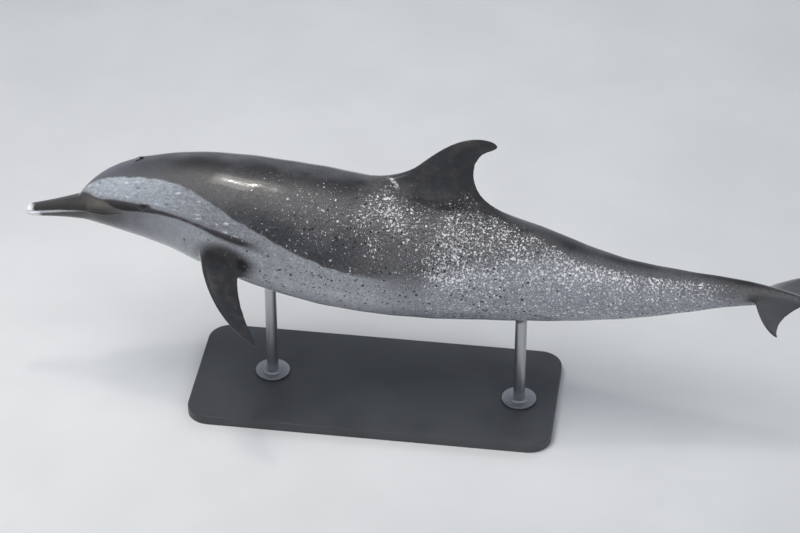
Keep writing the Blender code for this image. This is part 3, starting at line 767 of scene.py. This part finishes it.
blow = np.array([BLOW_PLACE, math.pi / 2])
before, outer, level = patch_round(blow, BLOW_PATCH)
offset = (outer - blow) * [1, level]
turn = np.arctan2(offset[:, 0] / BLOW_PATCH[0], offset[:, 1] / BLOW_PATCH[1])
bow = BLOW_BOW / 2 - BLOW_BOW * np.cos(turn) ** 2
steps = [(k / BLOW_LOOPS, 0) for k in range(1, BLOW_LOOPS + 1)]
for t, deep in steps + [(1, depth) for depth in BLOW_DEPTHS]:
    inwards = ease(deep, 0, BLOW_DEPTHS[-1])
    open_half = BLOW_OPEN / 2 * (1 - BLOW_NARROW[0] * inwards)
    across = BLOW_HALF * np.cos(turn) * (1 - BLOW_NARROW[1] * inwards)
    rim = np.stack([bow + open_half * np.sin(turn), across], -1)
    flat = offset + (rim - offset) * (1 - (1 - t) ** BLOW_CROWD)
    out = np.linalg.norm(flat - rim, axis=1)
    spot = flat / [1, level] + blow
    lip = sum(height * bell(out, away, width) for height, away, width in BLOW_FOLDS)
    lip = lip - BLOW_HOLLOW * bell(flat[:, 0], *BLOW_AHEAD) * bell(flat[:, 1], 0, 0.018)
    lift = lip * ease(t, 0, 0.3) - deep
    points = skin_point(*spot.T) + skin_normals(*spot.T) * lift[:, None]
    before = skin.grow(before, points, spot)
skin.face(before)

# The plain grid fills what the fins, the lids and the blowhole leave, out to both ends.
for i in range(len(places) - 1):
    for j in range(COLUMNS):
        if (i, j) not in covered:
            after = (j + 1) % COLUMNS
            skin.face((grid[i, j], grid[i, after], grid[i + 1, after], grid[i + 1, j]))
for row, at in ((grid[0], 0), (grid[-1], skin_point(LENGTH, 0)[0] + 0.0001)):
    end = skin.add([(at, 0, 0)], [(at, 0)])[0]
    for j in range(COLUMNS):
        skin.face((row[j], row[(j + 1) % COLUMNS], end))

# The skin is unrolled for its colour map: the body as one sheet, open along the belly, and
# each side of each fin as an island of its own, on a shelf under it or in the tail's corners.
SHEET, MARGIN = (2.02, 1.42), 0.010  # in metres
BACK_LINE = 0.86  # height of the middle of the back on the sheet
TAIL_CORNER, FLUKE_ROOM = (1.575, 0.24), (0.215, 0.27)  # from the back's line; and per island

straight = np.vstack(skin.points)
blade = np.concatenate(skin.blade)
along, angle = np.vstack(skin.spots).T
girth_places = np.linspace(0, LENGTH, 200)
girths = radius(girth_places[:, None], full_turn(48)).mean(1)  # mean radii there


def unrolled(mesh):
    """Fills in the colour map's coordinates, by the island of each face."""
    corner_point = np.array([loop.vertex_index for loop in mesh.loops])
    sizes = np.array([len(face.vertices) for face in mesh.polygons])
    corner_face = np.repeat(np.arange(len(sizes)), sizes)
    island = np.array(skin.island)[corner_face]
    flat = np.zeros((len(corner_point), 2))
    turn = angle[corner_point]
    first = turn[np.concatenate([[0], np.cumsum(sizes)[:-1]])][corner_face]
    # A face's corners stay together on the side of the belly's seam that its first one is on.
    from_back = half_turn(first - math.pi / 2) + half_turn(turn - first)
    flat[:, 0] = along[corner_point]
    flat[:, 1] = BACK_LINE + from_back * np.interp(flat[:, 0], girth_places, girths)
    shelf = MARGIN
    for name in sorted(set(skin.island) - {"body"}):
        fin = FINS[int(name[:-1])]
        chosen = island == name
        away = straight[corner_point[chosen]] - fin.root
        local = np.stack([away @ fin.chord, away @ fin.span], -1)
        local -= local.min(0)
        if fin.name == "fluke":
            over, under = TAIL_CORNER[1], -TAIL_CORNER[1] - FLUKE_ROOM[1]
            corner = TAIL_CORNER[0] + (FLUKE_ROOM[0] if name[1] == "+" else 0)
            flat[chosen] = local + [corner, BACK_LINE + (over if name[0] == "3" else under)]
        else:
            flat[chosen] = local + [shelf, MARGIN]
            shelf += local[:, 0].max() + MARGIN
    layer = mesh.uv_layers.new(name="OFBake")
    layer.data.foreach_set("uv", (flat / SHEET).astype(np.float32).ravel())


# The markings are fields over the skin, with place in per cent of the length and angle in
# degrees down from the middle of the back: distances in metres inside an edge, or shares.
CAPE_EDGE = (
    (6.9, 7), (9.8, 22.5), (15.2, 35.5), (20.2, 46.5), (25.5, 66), (31.1, 81), (39.3, 96.5),
    (44.5, 101), (50.0, 95), (54.0, 77), (60.5, 50), (66.5, 29), (73.0, 19), (82.0, 15),
    (90.0, 26), (95.0, 75),
)
BAND_TOP = (
    (7.0, 16.5), (9.3, 56.5), (11.0, 63.0), (13.0, 66.8), (15.0, 71.0), (16.6, 75.0),
    (18.6, 78.5), (21.3, 83.0), (24.0, 86.8), (26.7, 89.0), (31.0, 91.0),
)
BAND_FOOT = (
    (7.0, 21.5), (9.3, 59.5), (10.4, 65.5), (11.3, 73.5), (12.4, 80.0), (14.0, 82.0),
    (18.6, 83.5), (21.3, 86.5), (24.0, 91.5), (26.1, 95.5), (31.0, 98.0),
)
BAND_START, BAND_END, BAND_TAPER = 6.6, 31.0, 0.12  # its ends, and how slim it runs out
# Dark patches round the eye and round the flipper's root: middle, and half axes in metres.
SMUDGES = (((15.6, 76.0), (0.024, 0.0105)), ((27.2, 122.0), (0.078, 0.052)))
# Soft patches of pale flecks: how dense, place and width, angle and spread.
CLUSTERS = (
    (0.48, 45.8, 1.7, 15, 10), (0.41, 46.9, 1.6, 32, 12), (0.42, 47.6, 1.5, 46, 9),
    (0.34, 44.4, 1.6, 32, 14), (0.34, 43.4, 1.2, 50, 12), (0.34, 45.4, 1.2, 70, 14),
    (0.14, 38.0, 4.0, 55, 30), (0.24, 50.5, 3.0, 58, 28), (0.25, 50.0, 2.0, 24, 16),
    (0.30, 56.0, 5.0, 90, 12),
)
# Upper edge of the flecks of the rear flank: places and angles.
REAR_TOP = ((51, 55, 59, 65, 69.5, 74, 90), (18, 12, 8, 17, 28, 33, 36))

down = np.degrees(np.abs(half_turn(angle - math.pi / 2)))
per_cent = along * 100 / LENGTH
level = radius(along, angle)
one_degree = level * math.pi / 180


def below(edge):
    """Distance of each point below an edge that runs along the body."""
    curve, small = spline(*zip(*edge, strict=True)), 0.2
    slope = (curve(per_cent + small) - curve(per_cent - small)) / metres(2 * small) * one_degree
    return (down - curve(per_cent)) * one_degree / np.sqrt(1 + slope**2)


def cluster(share, place, width, middle, spread):
    """A soft patch of flecks."""
    return share * bell(per_cent, place, width) * bell(down, middle, spread)


trunk, beak = head_and_beak(along, angle)
away, _ = mouth_line(along, level * np.sin(angle))
above = -below(BAND_TOP)
ends = metres(BAND_END - per_cent) * BAND_TAPER, metres(per_cent - BAND_START)
band = np.minimum.reduce([-above, -below(BAND_FOOT), *ends])
for (at_place, at_down), (half_long, half_high) in SMUDGES:
    ahead = metres(per_cent - at_place)
    ring = np.hypot(ahead / half_long, (down - at_down) * one_degree / half_high)
    band = np.maximum(band, (1 - ring) * half_high)
# Distance from the blowhole's slot, by which the skin's colour paints shade into the slot.
across_head = (angle - math.pi / 2) * level
slot = BLOW_PLACE + BLOW_BOW / 2 - BLOW_BOW * (across_head / BLOW_HALF) ** 2
slot = np.maximum(np.abs(along - slot) - BLOW_OPEN / 2, np.abs(across_head) - BLOW_HALF)
rear = between(per_cent, 51, 55, 86, 95)
rear_top = np.interp(per_cent, *REAR_TOP)
flecks = sum(cluster(*patch) for patch in CLUSTERS) + rear * cluster(0.24, 74.0, 8.0, 48, 18)
flecks += rear * ease(down, rear_top - 6, rear_top + 8) * (0.60 - 0.14 * ease(down, 70, 100))
flecks += 0.17 * between(per_cent, 24, 34, 52, 56) * ease(down, 12, 34)
foot_line = 0.42 * bell(down, 17 - 2.9 * (per_cent - 51.6), 4)
foot_line *= between(per_cent, 50.8, 52, 57, 59) * (1 - ease(blade, 0.32, 0.46))
flecks = np.clip(flecks, 0, 1.1) * (1 - ease(blade, 0.14, 0.38))
spotty = 0.50 * ease(down, 25, 50) * between(per_cent, 28, 36, 60, 75)
spotty += cluster(0.50, 44.0, 5.0, 62, 32) + 0.55 * ease(down, 88, 112) * ease(per_cent, 16, 28)
fields = {
    "cape": -below(CAPE_EDGE),
    "band": band,
    "beak": np.where(along < BEAK_END, beak - trunk, -0.05),
    "lip": np.where(along < GAPE + 0.02, away, np.copysign(0.05, away)),
    "above": above,
    "low": down / 180,
    "fin": blade,
    "slot": np.where(np.sin(angle) > 0, slot, 0.05),
    "flecks": np.maximum(flecks, foot_line),
    "spots": np.clip(spotty, 0, 0.9) * (1 - ease(blade, 0.02, 0.3)),
}

skin_finish, tree = new_finish("dolphin_skin")


def field(name, output="Fac"):
    """A field stored on the skin's points."""
    return put("Attribute", attribute_name=name).outputs[output]


def sums(operation, *values):
    """The result of a Math node."""
    return put("Math", dict(enumerate(values)), operation=operation).outputs[0]


def vectors(operation, *values):
    """The vector that a Vector Math node makes of others."""
    return put("VectorMath", dict(enumerate(values)), operation=operation).outputs[0]


def times(mask, *shares):
    """A mask cut down by shares that step makes."""
    for share in shares:
        mask = sums("MULTIPLY", mask, step(*share))
    return mask


def dabs(place, spacing, density, size, seed, warp=0.35, soft=0.10):
    """Roundish dabs: where they are, from 0 to 1. Size is in shares of the spacing."""
    wobble = put("TexNoise", {"Vector": place, "Scale": 2.2 / spacing, "Detail": 2.0})
    bent = vectors("SUBTRACT", wobble.outputs["Color"], (0.5, 0.5, 0.5))
    bent = vectors("MULTIPLY", bent, (spacing * warp,) * 3)
    spot = vectors("ADD", mapped(place, Location=(seed, seed * 0.7, -seed)), bent)
    cells = put("TexVoronoi", {"Vector": spot, "Scale": 1 / spacing})
    lot = put("SeparateColor", {0: cells.outputs["Color"]})
    there = step(sums("SUBTRACT", density, lot.outputs[0]), 0.0, 0.06)
    reach_to = step(lot.outputs[1], 0.0, 1.0, size * 0.45, size)
    return times(there, (sums("SUBTRACT", reach_to, cells.outputs["Distance"]), -soft, soft))


def specks(place, scale, density, rare, common, soft=0.025):
    """Ragged specks, from 0 to 1: a noise over a bar that sinks from rare to common."""
    bar = put("MapRange", {"Value": density, "To Min": rare, "To Max": common}).outputs[0]
    over = sums("SUBTRACT", grain(place, scale, 2.0, 0.65), bar)
    return step(over, -soft, soft)


def noise_toned(tone, noise, share):
    """A colour made darker and lighter by a noise, by up to a share of itself."""
    sockets = {"Value": noise, "From Min": 0.25, "From Max": 0.75}
    sockets["To Min"] = sums("SUBTRACT", 1.0, share)
    sockets["To Max"] = sums("ADD", 1.0, share)
    return layers(tone, (1.0, put("MapRange", sockets).outputs[0]), how="MULTIPLY")


def edge_of(value, ripple, crumble, soft):
    """A mask from a distance inside an edge, with the edge rippled and crumbled."""
    rippled = sums("MULTIPLY_ADD", ragged, ripple, value)
    crumbled = sums("MULTIPLY_ADD", crumbly, crumble, rippled)
    return step(crumbled, sums("MULTIPLY", soft, -1.0), soft)


place = field("straight", "Vector")
cape, band, beak_in, lip = field("cape"), field("band"), field("beak"), field("lip")
above, low, on_fin, dense = field("above"), field("low"), field("fin"), field("flecks")
at = put("SeparateXYZ", {0: place}).outputs[0]  # place along the axis, in metres

cloud = grain(place, 9.0, 4.0)
patchy = grain(place, 34.0, 4.0, 0.6)
mottle = grain(place, 150.0, 4.0, 0.7)
sandy = grain(place, 330.0, 2.0, 0.6)
ragged = sums("SUBTRACT", patchy, 0.5)
crumbly = sums("SUBTRACT", mottle, 0.5)

# Flank and belly: light grey, paler downwards and mottled, darker behind the jaw.
flank = layers((134, 137, 143), (low, 0.45, 0.85, (168, 171, 176)))
throat = layers((78, 77, 80), (low, 0.48, 0.78, (128, 129, 135)))
rear_tone = layers((88, 88, 90), (cape, 0.0, -0.07, (134, 137, 143)))
behind = (at, 0.20, 0.42, flank), (at, 0.88, 1.06, rear_tone)
tone = noise_toned(layers(throat, *behind), patchy, 0.16)

# The cheek's pale patch, with paler blotches drawn out along the body that are partly painted
# wet highlights, and a few soft dark spots.
over_band = times(step(above, -0.006, 0.004), (at, 0.74, 0.50))
drawn_out = mapped(place, Scale=(0.42, 1.0, 1.0))
cheek = layers((155, 160, 168), (at, 0.24, 0.54, (121, 124, 129)))
cheek = noise_toned(cheek, grain(drawn_out, 170.0, 3.0, 0.6), 0.30)
# partly real pale blotches, partly painted highlights of wet skin
pale_blotches_and_glints = dabs(drawn_out, 0.0110, 0.28, 0.33, 5.2, 0.6, 0.2), (200, 204, 210)
dark_dabs = dabs(drawn_out, 0.0105, 0.34, 0.30, 9.4, 0.6, 0.2), (106, 108, 113)
cheek = noise_toned(layers(cheek, pale_blotches_and_glints, dark_dabs), sandy, 0.10)
cheek = layers(cheek, (above, 0.014, 0.0, 0.0, 0.45, (104, 103, 104)))
tone = layers(tone, (over_band, cheek))

# The cape: dark grey, a little browner along the back, finely mottled. It is darkest along the
# middle of the back, lighter along the middle of the side, which is partly painted sheen, and
# darker again lower down. Over the head it is lighter and bluer, partly a painted sky reflection.
foot = layers((50, 50, 53), (at, 0.76, 0.94, (78, 77, 79)))
cape_and_sheen = layers(
    (36, 35, 38),
    # partly painted sheen: a lighter band along the middle of the side
    (low, 0.07, 0.26, (86, 85, 86)),
    (low, 0.26, 0.42, foot),
    (cloud, 0.40, 0.68, 0.0, 0.45, (98, 97, 99)),
    # partly painted sky reflection: lighter and bluer over the head
    (at, 0.44, 0.16, (90, 92, 98)),
)
in_cape = edge_of(cape, 0.014, 0.004, step(at, 0.80, 1.00, 0.0030, 0.014))
tone = layers(tone, (in_cape, cape_and_sheen))

# Beak and forehead, and the band from the beak through the eye to the flipper.
brow_tone = layers((60, 59, 58), (at, 0.13, 0.19, (94, 90, 84)))
over_lip = layers((46, 44, 42), (lip, 0.003, 0.022, brow_tone))
face_tone = layers((72, 71, 71), (lip, -0.006, 0.0, over_lip), (low, 0.30, 0.10, (58, 57, 58)))
face_tone = noise_toned(face_tone, patchy, 0.16)
forehead = layers(face_tone, (over_band, tone))
band_tone = layers((30, 28, 30), (above, -0.016, -0.001, (60, 56, 60)))
in_band = edge_of(band, 0.006, 0.003, step(low, 0.50, 0.60, 0.0030, 0.0180))
tone = layers(
    tone,
    (at, 0.27, 0.20, forehead),
    (beak_in, -0.003, 0.006, face_tone),
    (in_band, band_tone),
)

# The pale lips and the white tip of the beak, then a mottling over all of it.
from_lip = sums("ABSOLUTE", sums("ADD", lip, 0.0026))
in_lip = sums("SUBTRACT", step(at, 0.02, 0.15, 0.0042, 0.0016), from_lip)
on_lips = times(edge_of(in_lip, 0.004, 0.003, 0.0012), (at, 0.17, 0.07, 0.0, 0.75))
in_tip = sums("SUBTRACT", step(lip, 0.003, -0.003, 0.018, 0.034), at)
on_tip = edge_of(in_tip, 0.018, 0.012, 0.007)
tone = layers(tone, (on_lips, (188, 191, 195)), (on_tip, (232, 234, 237)))
tone = noise_toned(tone, mottle, step(at, 0.30, 0.62, 0.12, 0.40))
tone = noise_toned(tone, sandy, step(at, 0.30, 0.62, 0.08, 0.34))
# Painted shade: the blowhole's slot and up to 2 mm round it are made near-black.
tone = layers(tone, (step(field("slot"), 0.0020, -0.0004), (22, 22, 26)))

# Fins: dark, with a brown tinge and fine pale lines along them at the foot of the dorsal fin.
streaks = grain(mapped(place, Scale=(7.0, 60.0, 260.0)), 1.0, 3.0, 0.6)
fin_tone = layers((40, 42, 46), (patchy, 0.42, 0.66, (56, 52, 52)))
fin_tone = noise_toned(fin_tone, streaks, step(on_fin, 0.95, 0.45, 0.08, 0.22))
fin_tone = noise_toned(fin_tone, mottle, 0.12)
tone = layers(tone, (on_fin, 0.10, 0.48, fin_tone))

# Pale flecks, the short pale streak at the foot of the dorsal fin, lone dabs and dark spots.
PALE = (236, 236, 238)
fine = times(specks(place, 330.0, dense, 0.68, 0.50), (dense, 0.02, 0.6, 0.0, 0.30))
main = specks(place, 164.0, dense, 0.73, 0.50)
main = times(main, (dense, 0.0, 0.05), (patchy, 0.3, 0.65, 0.45, 0.95))
streak_place = {"Vector": place, "Location": (0.924, -0.020, 0.181)}
streak_place |= {"Rotation": (0.0, 0.42, -0.50), "Scale": (0.026, 0.0040, 0.012)}
local = put("Mapping", streak_place, vector_type="TEXTURE").outputs[0]
away = put("VectorMath", {0: local}, operation="LENGTH").outputs["Value"]
streak = times(step(away, 1.15, 0.65, 0.0, 0.8), (mottle, 0.40, 0.56))
lone = dabs(place, 0.0115, sums("MULTIPLY", dense, 0.48), 0.24, 3.1, 0.8)
lone = times(lone, (dense, 0.05, 0.40, 0.45, 0.90))
spotted = sums("MULTIPLY", dabs(place, 0.013, field("spots"), 0.27, 12.3, 0.5, 0.05), 0.9)
flecked = layers(tone, (fine, PALE), (main, PALE), (streak, (206, 204, 203)))
tone = layers(flecked, (lone, PALE), (spotted, (20, 20, 23)))

# Fine pores under a wet coat, and a slow unevenness under both.
pores = relief(grain(place, 620.0, 3.0), 0.00010, 0.5)
coating = {
    "Base Color": tone,
    "Roughness": step(patchy, 0.2, 0.8, 0.36, 0.50),
    "Specular IOR Level": 0.30,
    "Normal": relief(patchy, 0.0009, 0.35, Normal=pores),
    "Coat Weight": 1.0,
    "Coat Roughness": 0.13,
    "Coat IOR": 1.33,
    "Coat Normal": relief(patchy, 0.0008, 0.25),
}
dress(coating)

FLESH = ["beak_upper", "beak_lower", "head", "neck", "chest", "trunk", "loin", "tail_stock"]
FLESH += ["fluke_root", "dorsal_fin", "flipper_left", "flipper_right", "fluke_left", "fluke_right"]
body_skin = piece("body_skin", posed(straight), skin.faces, skin_finish, "skin", FLESH)
unrolled(body_skin.data)


def store(mesh, name, values):
    """Keeps a number or a vector for each point of a mesh, for its material."""
    values = np.asarray(values, np.float32)
    kind, key = ("FLOAT_VECTOR", "vector") if values.ndim > 1 else ("FLOAT", "value")
    mesh.attributes.new(name, kind, "POINT").data.foreach_set(key, values.ravel())


for name, values in fields.items():
    store(body_skin.data, name, values)
store(body_skin.data, "straight", straight)

# ======== eyes
# Two balls of dark brown glass under a clear cornea, each set in its socket from inside. The
# pupil is a wide, low slot in a slightly paler iris.

IRIS_RADIUS, IRIS_SOFT = 0.0062, 0.0006
PUPIL = (0.0040, 0.0024)  # half length and half height of the slot
CORNEA_BULGE, CORNEA_REACH = 0.0006, 0.42  # height, and angle from the ball's front
POLE, BALL_RINGS = 0.04, 40  # angle of the first ring, and number of rings
BACK_LOOK = 0.01  # a distance that keeps the iris off the ball's back

eye_glass, tree = new_finish("dark_eye")
gaze = put("Attribute", attribute_name="gaze").outputs["Vector"]
ring = put("VectorMath", {0: gaze}, operation="LENGTH").outputs["Value"]
wide = vectors("MULTIPLY", gaze, (1 / PUPIL[0], 1 / PUPIL[1], 0))
slot_size = put("VectorMath", {0: wide}, operation="LENGTH").outputs["Value"]
fibres = grain(gaze, 900.0, 3.0)
out_of_iris = step(ring, IRIS_RADIUS - IRIS_SOFT, IRIS_RADIUS + IRIS_SOFT)
coating = {
    "Base Color": layers(
        (30, 21, 17),
        (fibres, 0.3, 0.7, (50, 36, 28)),
        (out_of_iris, (30, 25, 24)),
        (slot_size, 1.1, 0.9, (6, 6, 8)),
    ),
    "Roughness": step(fibres, 0.2, 0.8, 0.10, 0.16),
    "Coat Weight": 1.0,
    "Coat Roughness": 0.02,
    "Coat IOR": 1.38,
}
dress(coating)

for side, name in ((1, "right"), (-1, "left")):
    normal = skin_normals(*eye_spots[side])
    long_way = unit(np.array([1.0, 0, 0]) - normal * normal[0])
    high_way = np.cross(normal, long_way)
    high_way *= np.sign(high_way[2])
    turns, rows, looks = full_turn(ROUND_STEPS), [], []
    for polar in np.linspace(POLE, math.pi - POLE, BALL_RINGS):
        flat = EYE_RADIUS * math.sin(polar) * np.stack([np.cos(turns), np.sin(turns)], -1)
        out = EYE_RADIUS * math.cos(polar)
        out += CORNEA_BULGE * math.exp(-((polar / CORNEA_REACH) ** 4))
        rows.append(eye_centres[side] + flat @ np.stack([long_way, high_way]) + normal * out)
        looks += [(x, y, 0.0 if polar < math.pi / 2 else BACK_LOOK) for x, y in flat]
    points, faces = loft(rows)
    ball = piece("eyeball_" + name, posed(points), faces, eye_glass, "eye", ["eye_" + name])
    store(ball.data, "gaze", looks)

# ======== rods and their saddles
# The rods run up from the collars to the belly. Each ends in a turned steel saddle that is cut
# to the belly's shape and bonded to it.

ROD_OVERLAP = 0.004  # how far a rod goes down into its collar
SADDLE_RADIUS, SADDLE_DEPTH = 0.027, 0.016
SADDLE_CLEAR = 0.0004  # between a saddle and the skin
SADDLE_FILLET = 0.0015  # where a rod runs into its saddle

belly = BVHTree.FromObject(body_skin, bpy.context.evaluated_depsgraph_get())


def belly_height(x, y):
    """Height of the belly over a point of the floor."""
    return belly.ray_cast(Vector((x, y, 0.03)), Vector((0, 0, 1)))[0].z


for end, (centre, collar_top) in rod_feet.items():
    saddle_foot = belly_height(*centre) - SADDLE_DEPTH
    rod_section = [
        (ROD_RADIUS, collar_top - ROD_OVERLAP),
        (ROD_RADIUS, saddle_foot - SADDLE_DEPTH),
        (ROD_RADIUS, saddle_foot - SADDLE_FILLET),
        (ROD_RADIUS + SADDLE_FILLET, saddle_foot),
    ]
    saddle_section = [  # with heights over the belly's skin
        (SADDLE_RADIUS - 0.0045, -0.0075),
        (SADDLE_RADIUS - 0.0012, -0.0050),
        (SADDLE_RADIUS, -0.0035),
        (SADDLE_RADIUS, -0.0012),
        (SADDLE_RADIUS - 0.0008, 0.0),
        (SADDLE_RADIUS * 0.5, 0.0),
    ]
    rows = turned(rod_section, centre)
    rows += turned(saddle_section, centre, over=lambda x, y: belly_height(x, y) - SADDLE_CLEAR)
    nodes = ["stand_rod_" + end]
    piece("rod_" + end, *loft(rows), rod_steel, "stand_steel", nodes, sharp=45)

# ======== camera, floor and lights
# A long lens looks down on the left side over a pale, matt studio floor. Five softboxes and a
# pale dome light the model. Of the softboxes, only the last two show in the wet skin's gloss.

TARGET, DISTANCE = Vector((0.0625, 0.0, 0.4096)), 7.5
AZIMUTH, ELEVATION = math.radians(8.0), math.radians(36.0)
FLOOR_RADIUS = 60.0

turn = Matrix.Rotation(AZIMUTH, 3, "Z") @ Matrix.Rotation(-ELEVATION, 3, "X")
away_from = turn @ Vector((0.0, -1.0, 0.0))
camera = add_object("camera", bpy.data.cameras.new("camera"))
camera.location = TARGET + away_from * DISTANCE
camera.rotation_euler = away_from.to_track_quat("Z", "Y").to_euler()
camera.data.sensor_width = 36.0
camera.data.lens = 132.6
camera.data.clip_end = FLOOR_RADIUS
bpy.context.scene.camera = camera

floor_paint, tree = new_finish("pale_floor")
speckle = grain(put("TexCoord").outputs["Object"], 3.0, 4.0)
pale_grey = layers((214, 215, 216), (speckle, 0.3, 0.7, (219, 220, 221)))
dress({"Base Color": pale_grey, "Roughness": 0.8})
solid = bmesh.new()
bmesh.ops.create_circle(solid, cap_ends=True, segments=96, radius=FLOOR_RADIUS)
mesh = bpy.data.meshes.new("floor")
solid.to_mesh(mesh)
solid.free()
mesh.materials.append(floor_paint)
floor = add_object("floor", mesh)


def softbox(name, place, aim, size, power, colour, mirrored=False):
    """A rectangular studio light that faces a point. Only a mirrored one shows in the gloss."""
    lamp = bpy.data.lights.new(name, "AREA")
    lamp.shape, lamp.size, lamp.size_y = "RECTANGLE", *size
    lamp.energy, lamp.color = power, colour
    light = add_object(name, lamp)
    light.location = place
    light.rotation_euler = (Vector(place) - Vector(aim)).to_track_quat("Z", "Y").to_euler()
    light.visible_glossy = mirrored


middle, shoulder = (0.0, 0.0, 0.45), (-0.33, -0.04, 0.66)
softbox("key", (-1.4, -0.9, 3.7), middle, (2.6, 2.0), 94, (1.0, 0.99, 0.97))
softbox("fill", (2.8, -2.8, 1.9), middle, (2.4, 2.0), 28, (0.96, 0.98, 1.0))
softbox("back", (0.8, 3.2, 2.6), middle, (3.2, 1.2), 26, (0.95, 0.97, 1.0))
softbox("glint", (-0.74, 0.10, 3.30), shoulder, (0.24, 0.04), 9, (1.0, 0.96, 0.88), True)
softbox("halo", (-0.90, 0.10, 3.30), shoulder, (1.30, 0.50), 13, (1.0, 0.96, 0.90), True)

world = bpy.data.worlds.new("studio")
world.use_nodes = True
tree = world.node_tree
height = put("SeparateXYZ", {0: put("TexCoord").outputs["Generated"]}).outputs[2]
dome = {0: step(height, 0.0, 0.9), 6: (0.60, 0.64, 0.70, 1), 7: (0.30, 0.33, 0.38, 1)}
dome = put("Mix", dome, data_type="RGBA").outputs[2]
fill(tree.nodes["Background"], {"Color": dome, "Strength": 0.75})
bpy.context.scene.world = world
bpy.context.scene.view_settings.view_transform = "Standard"
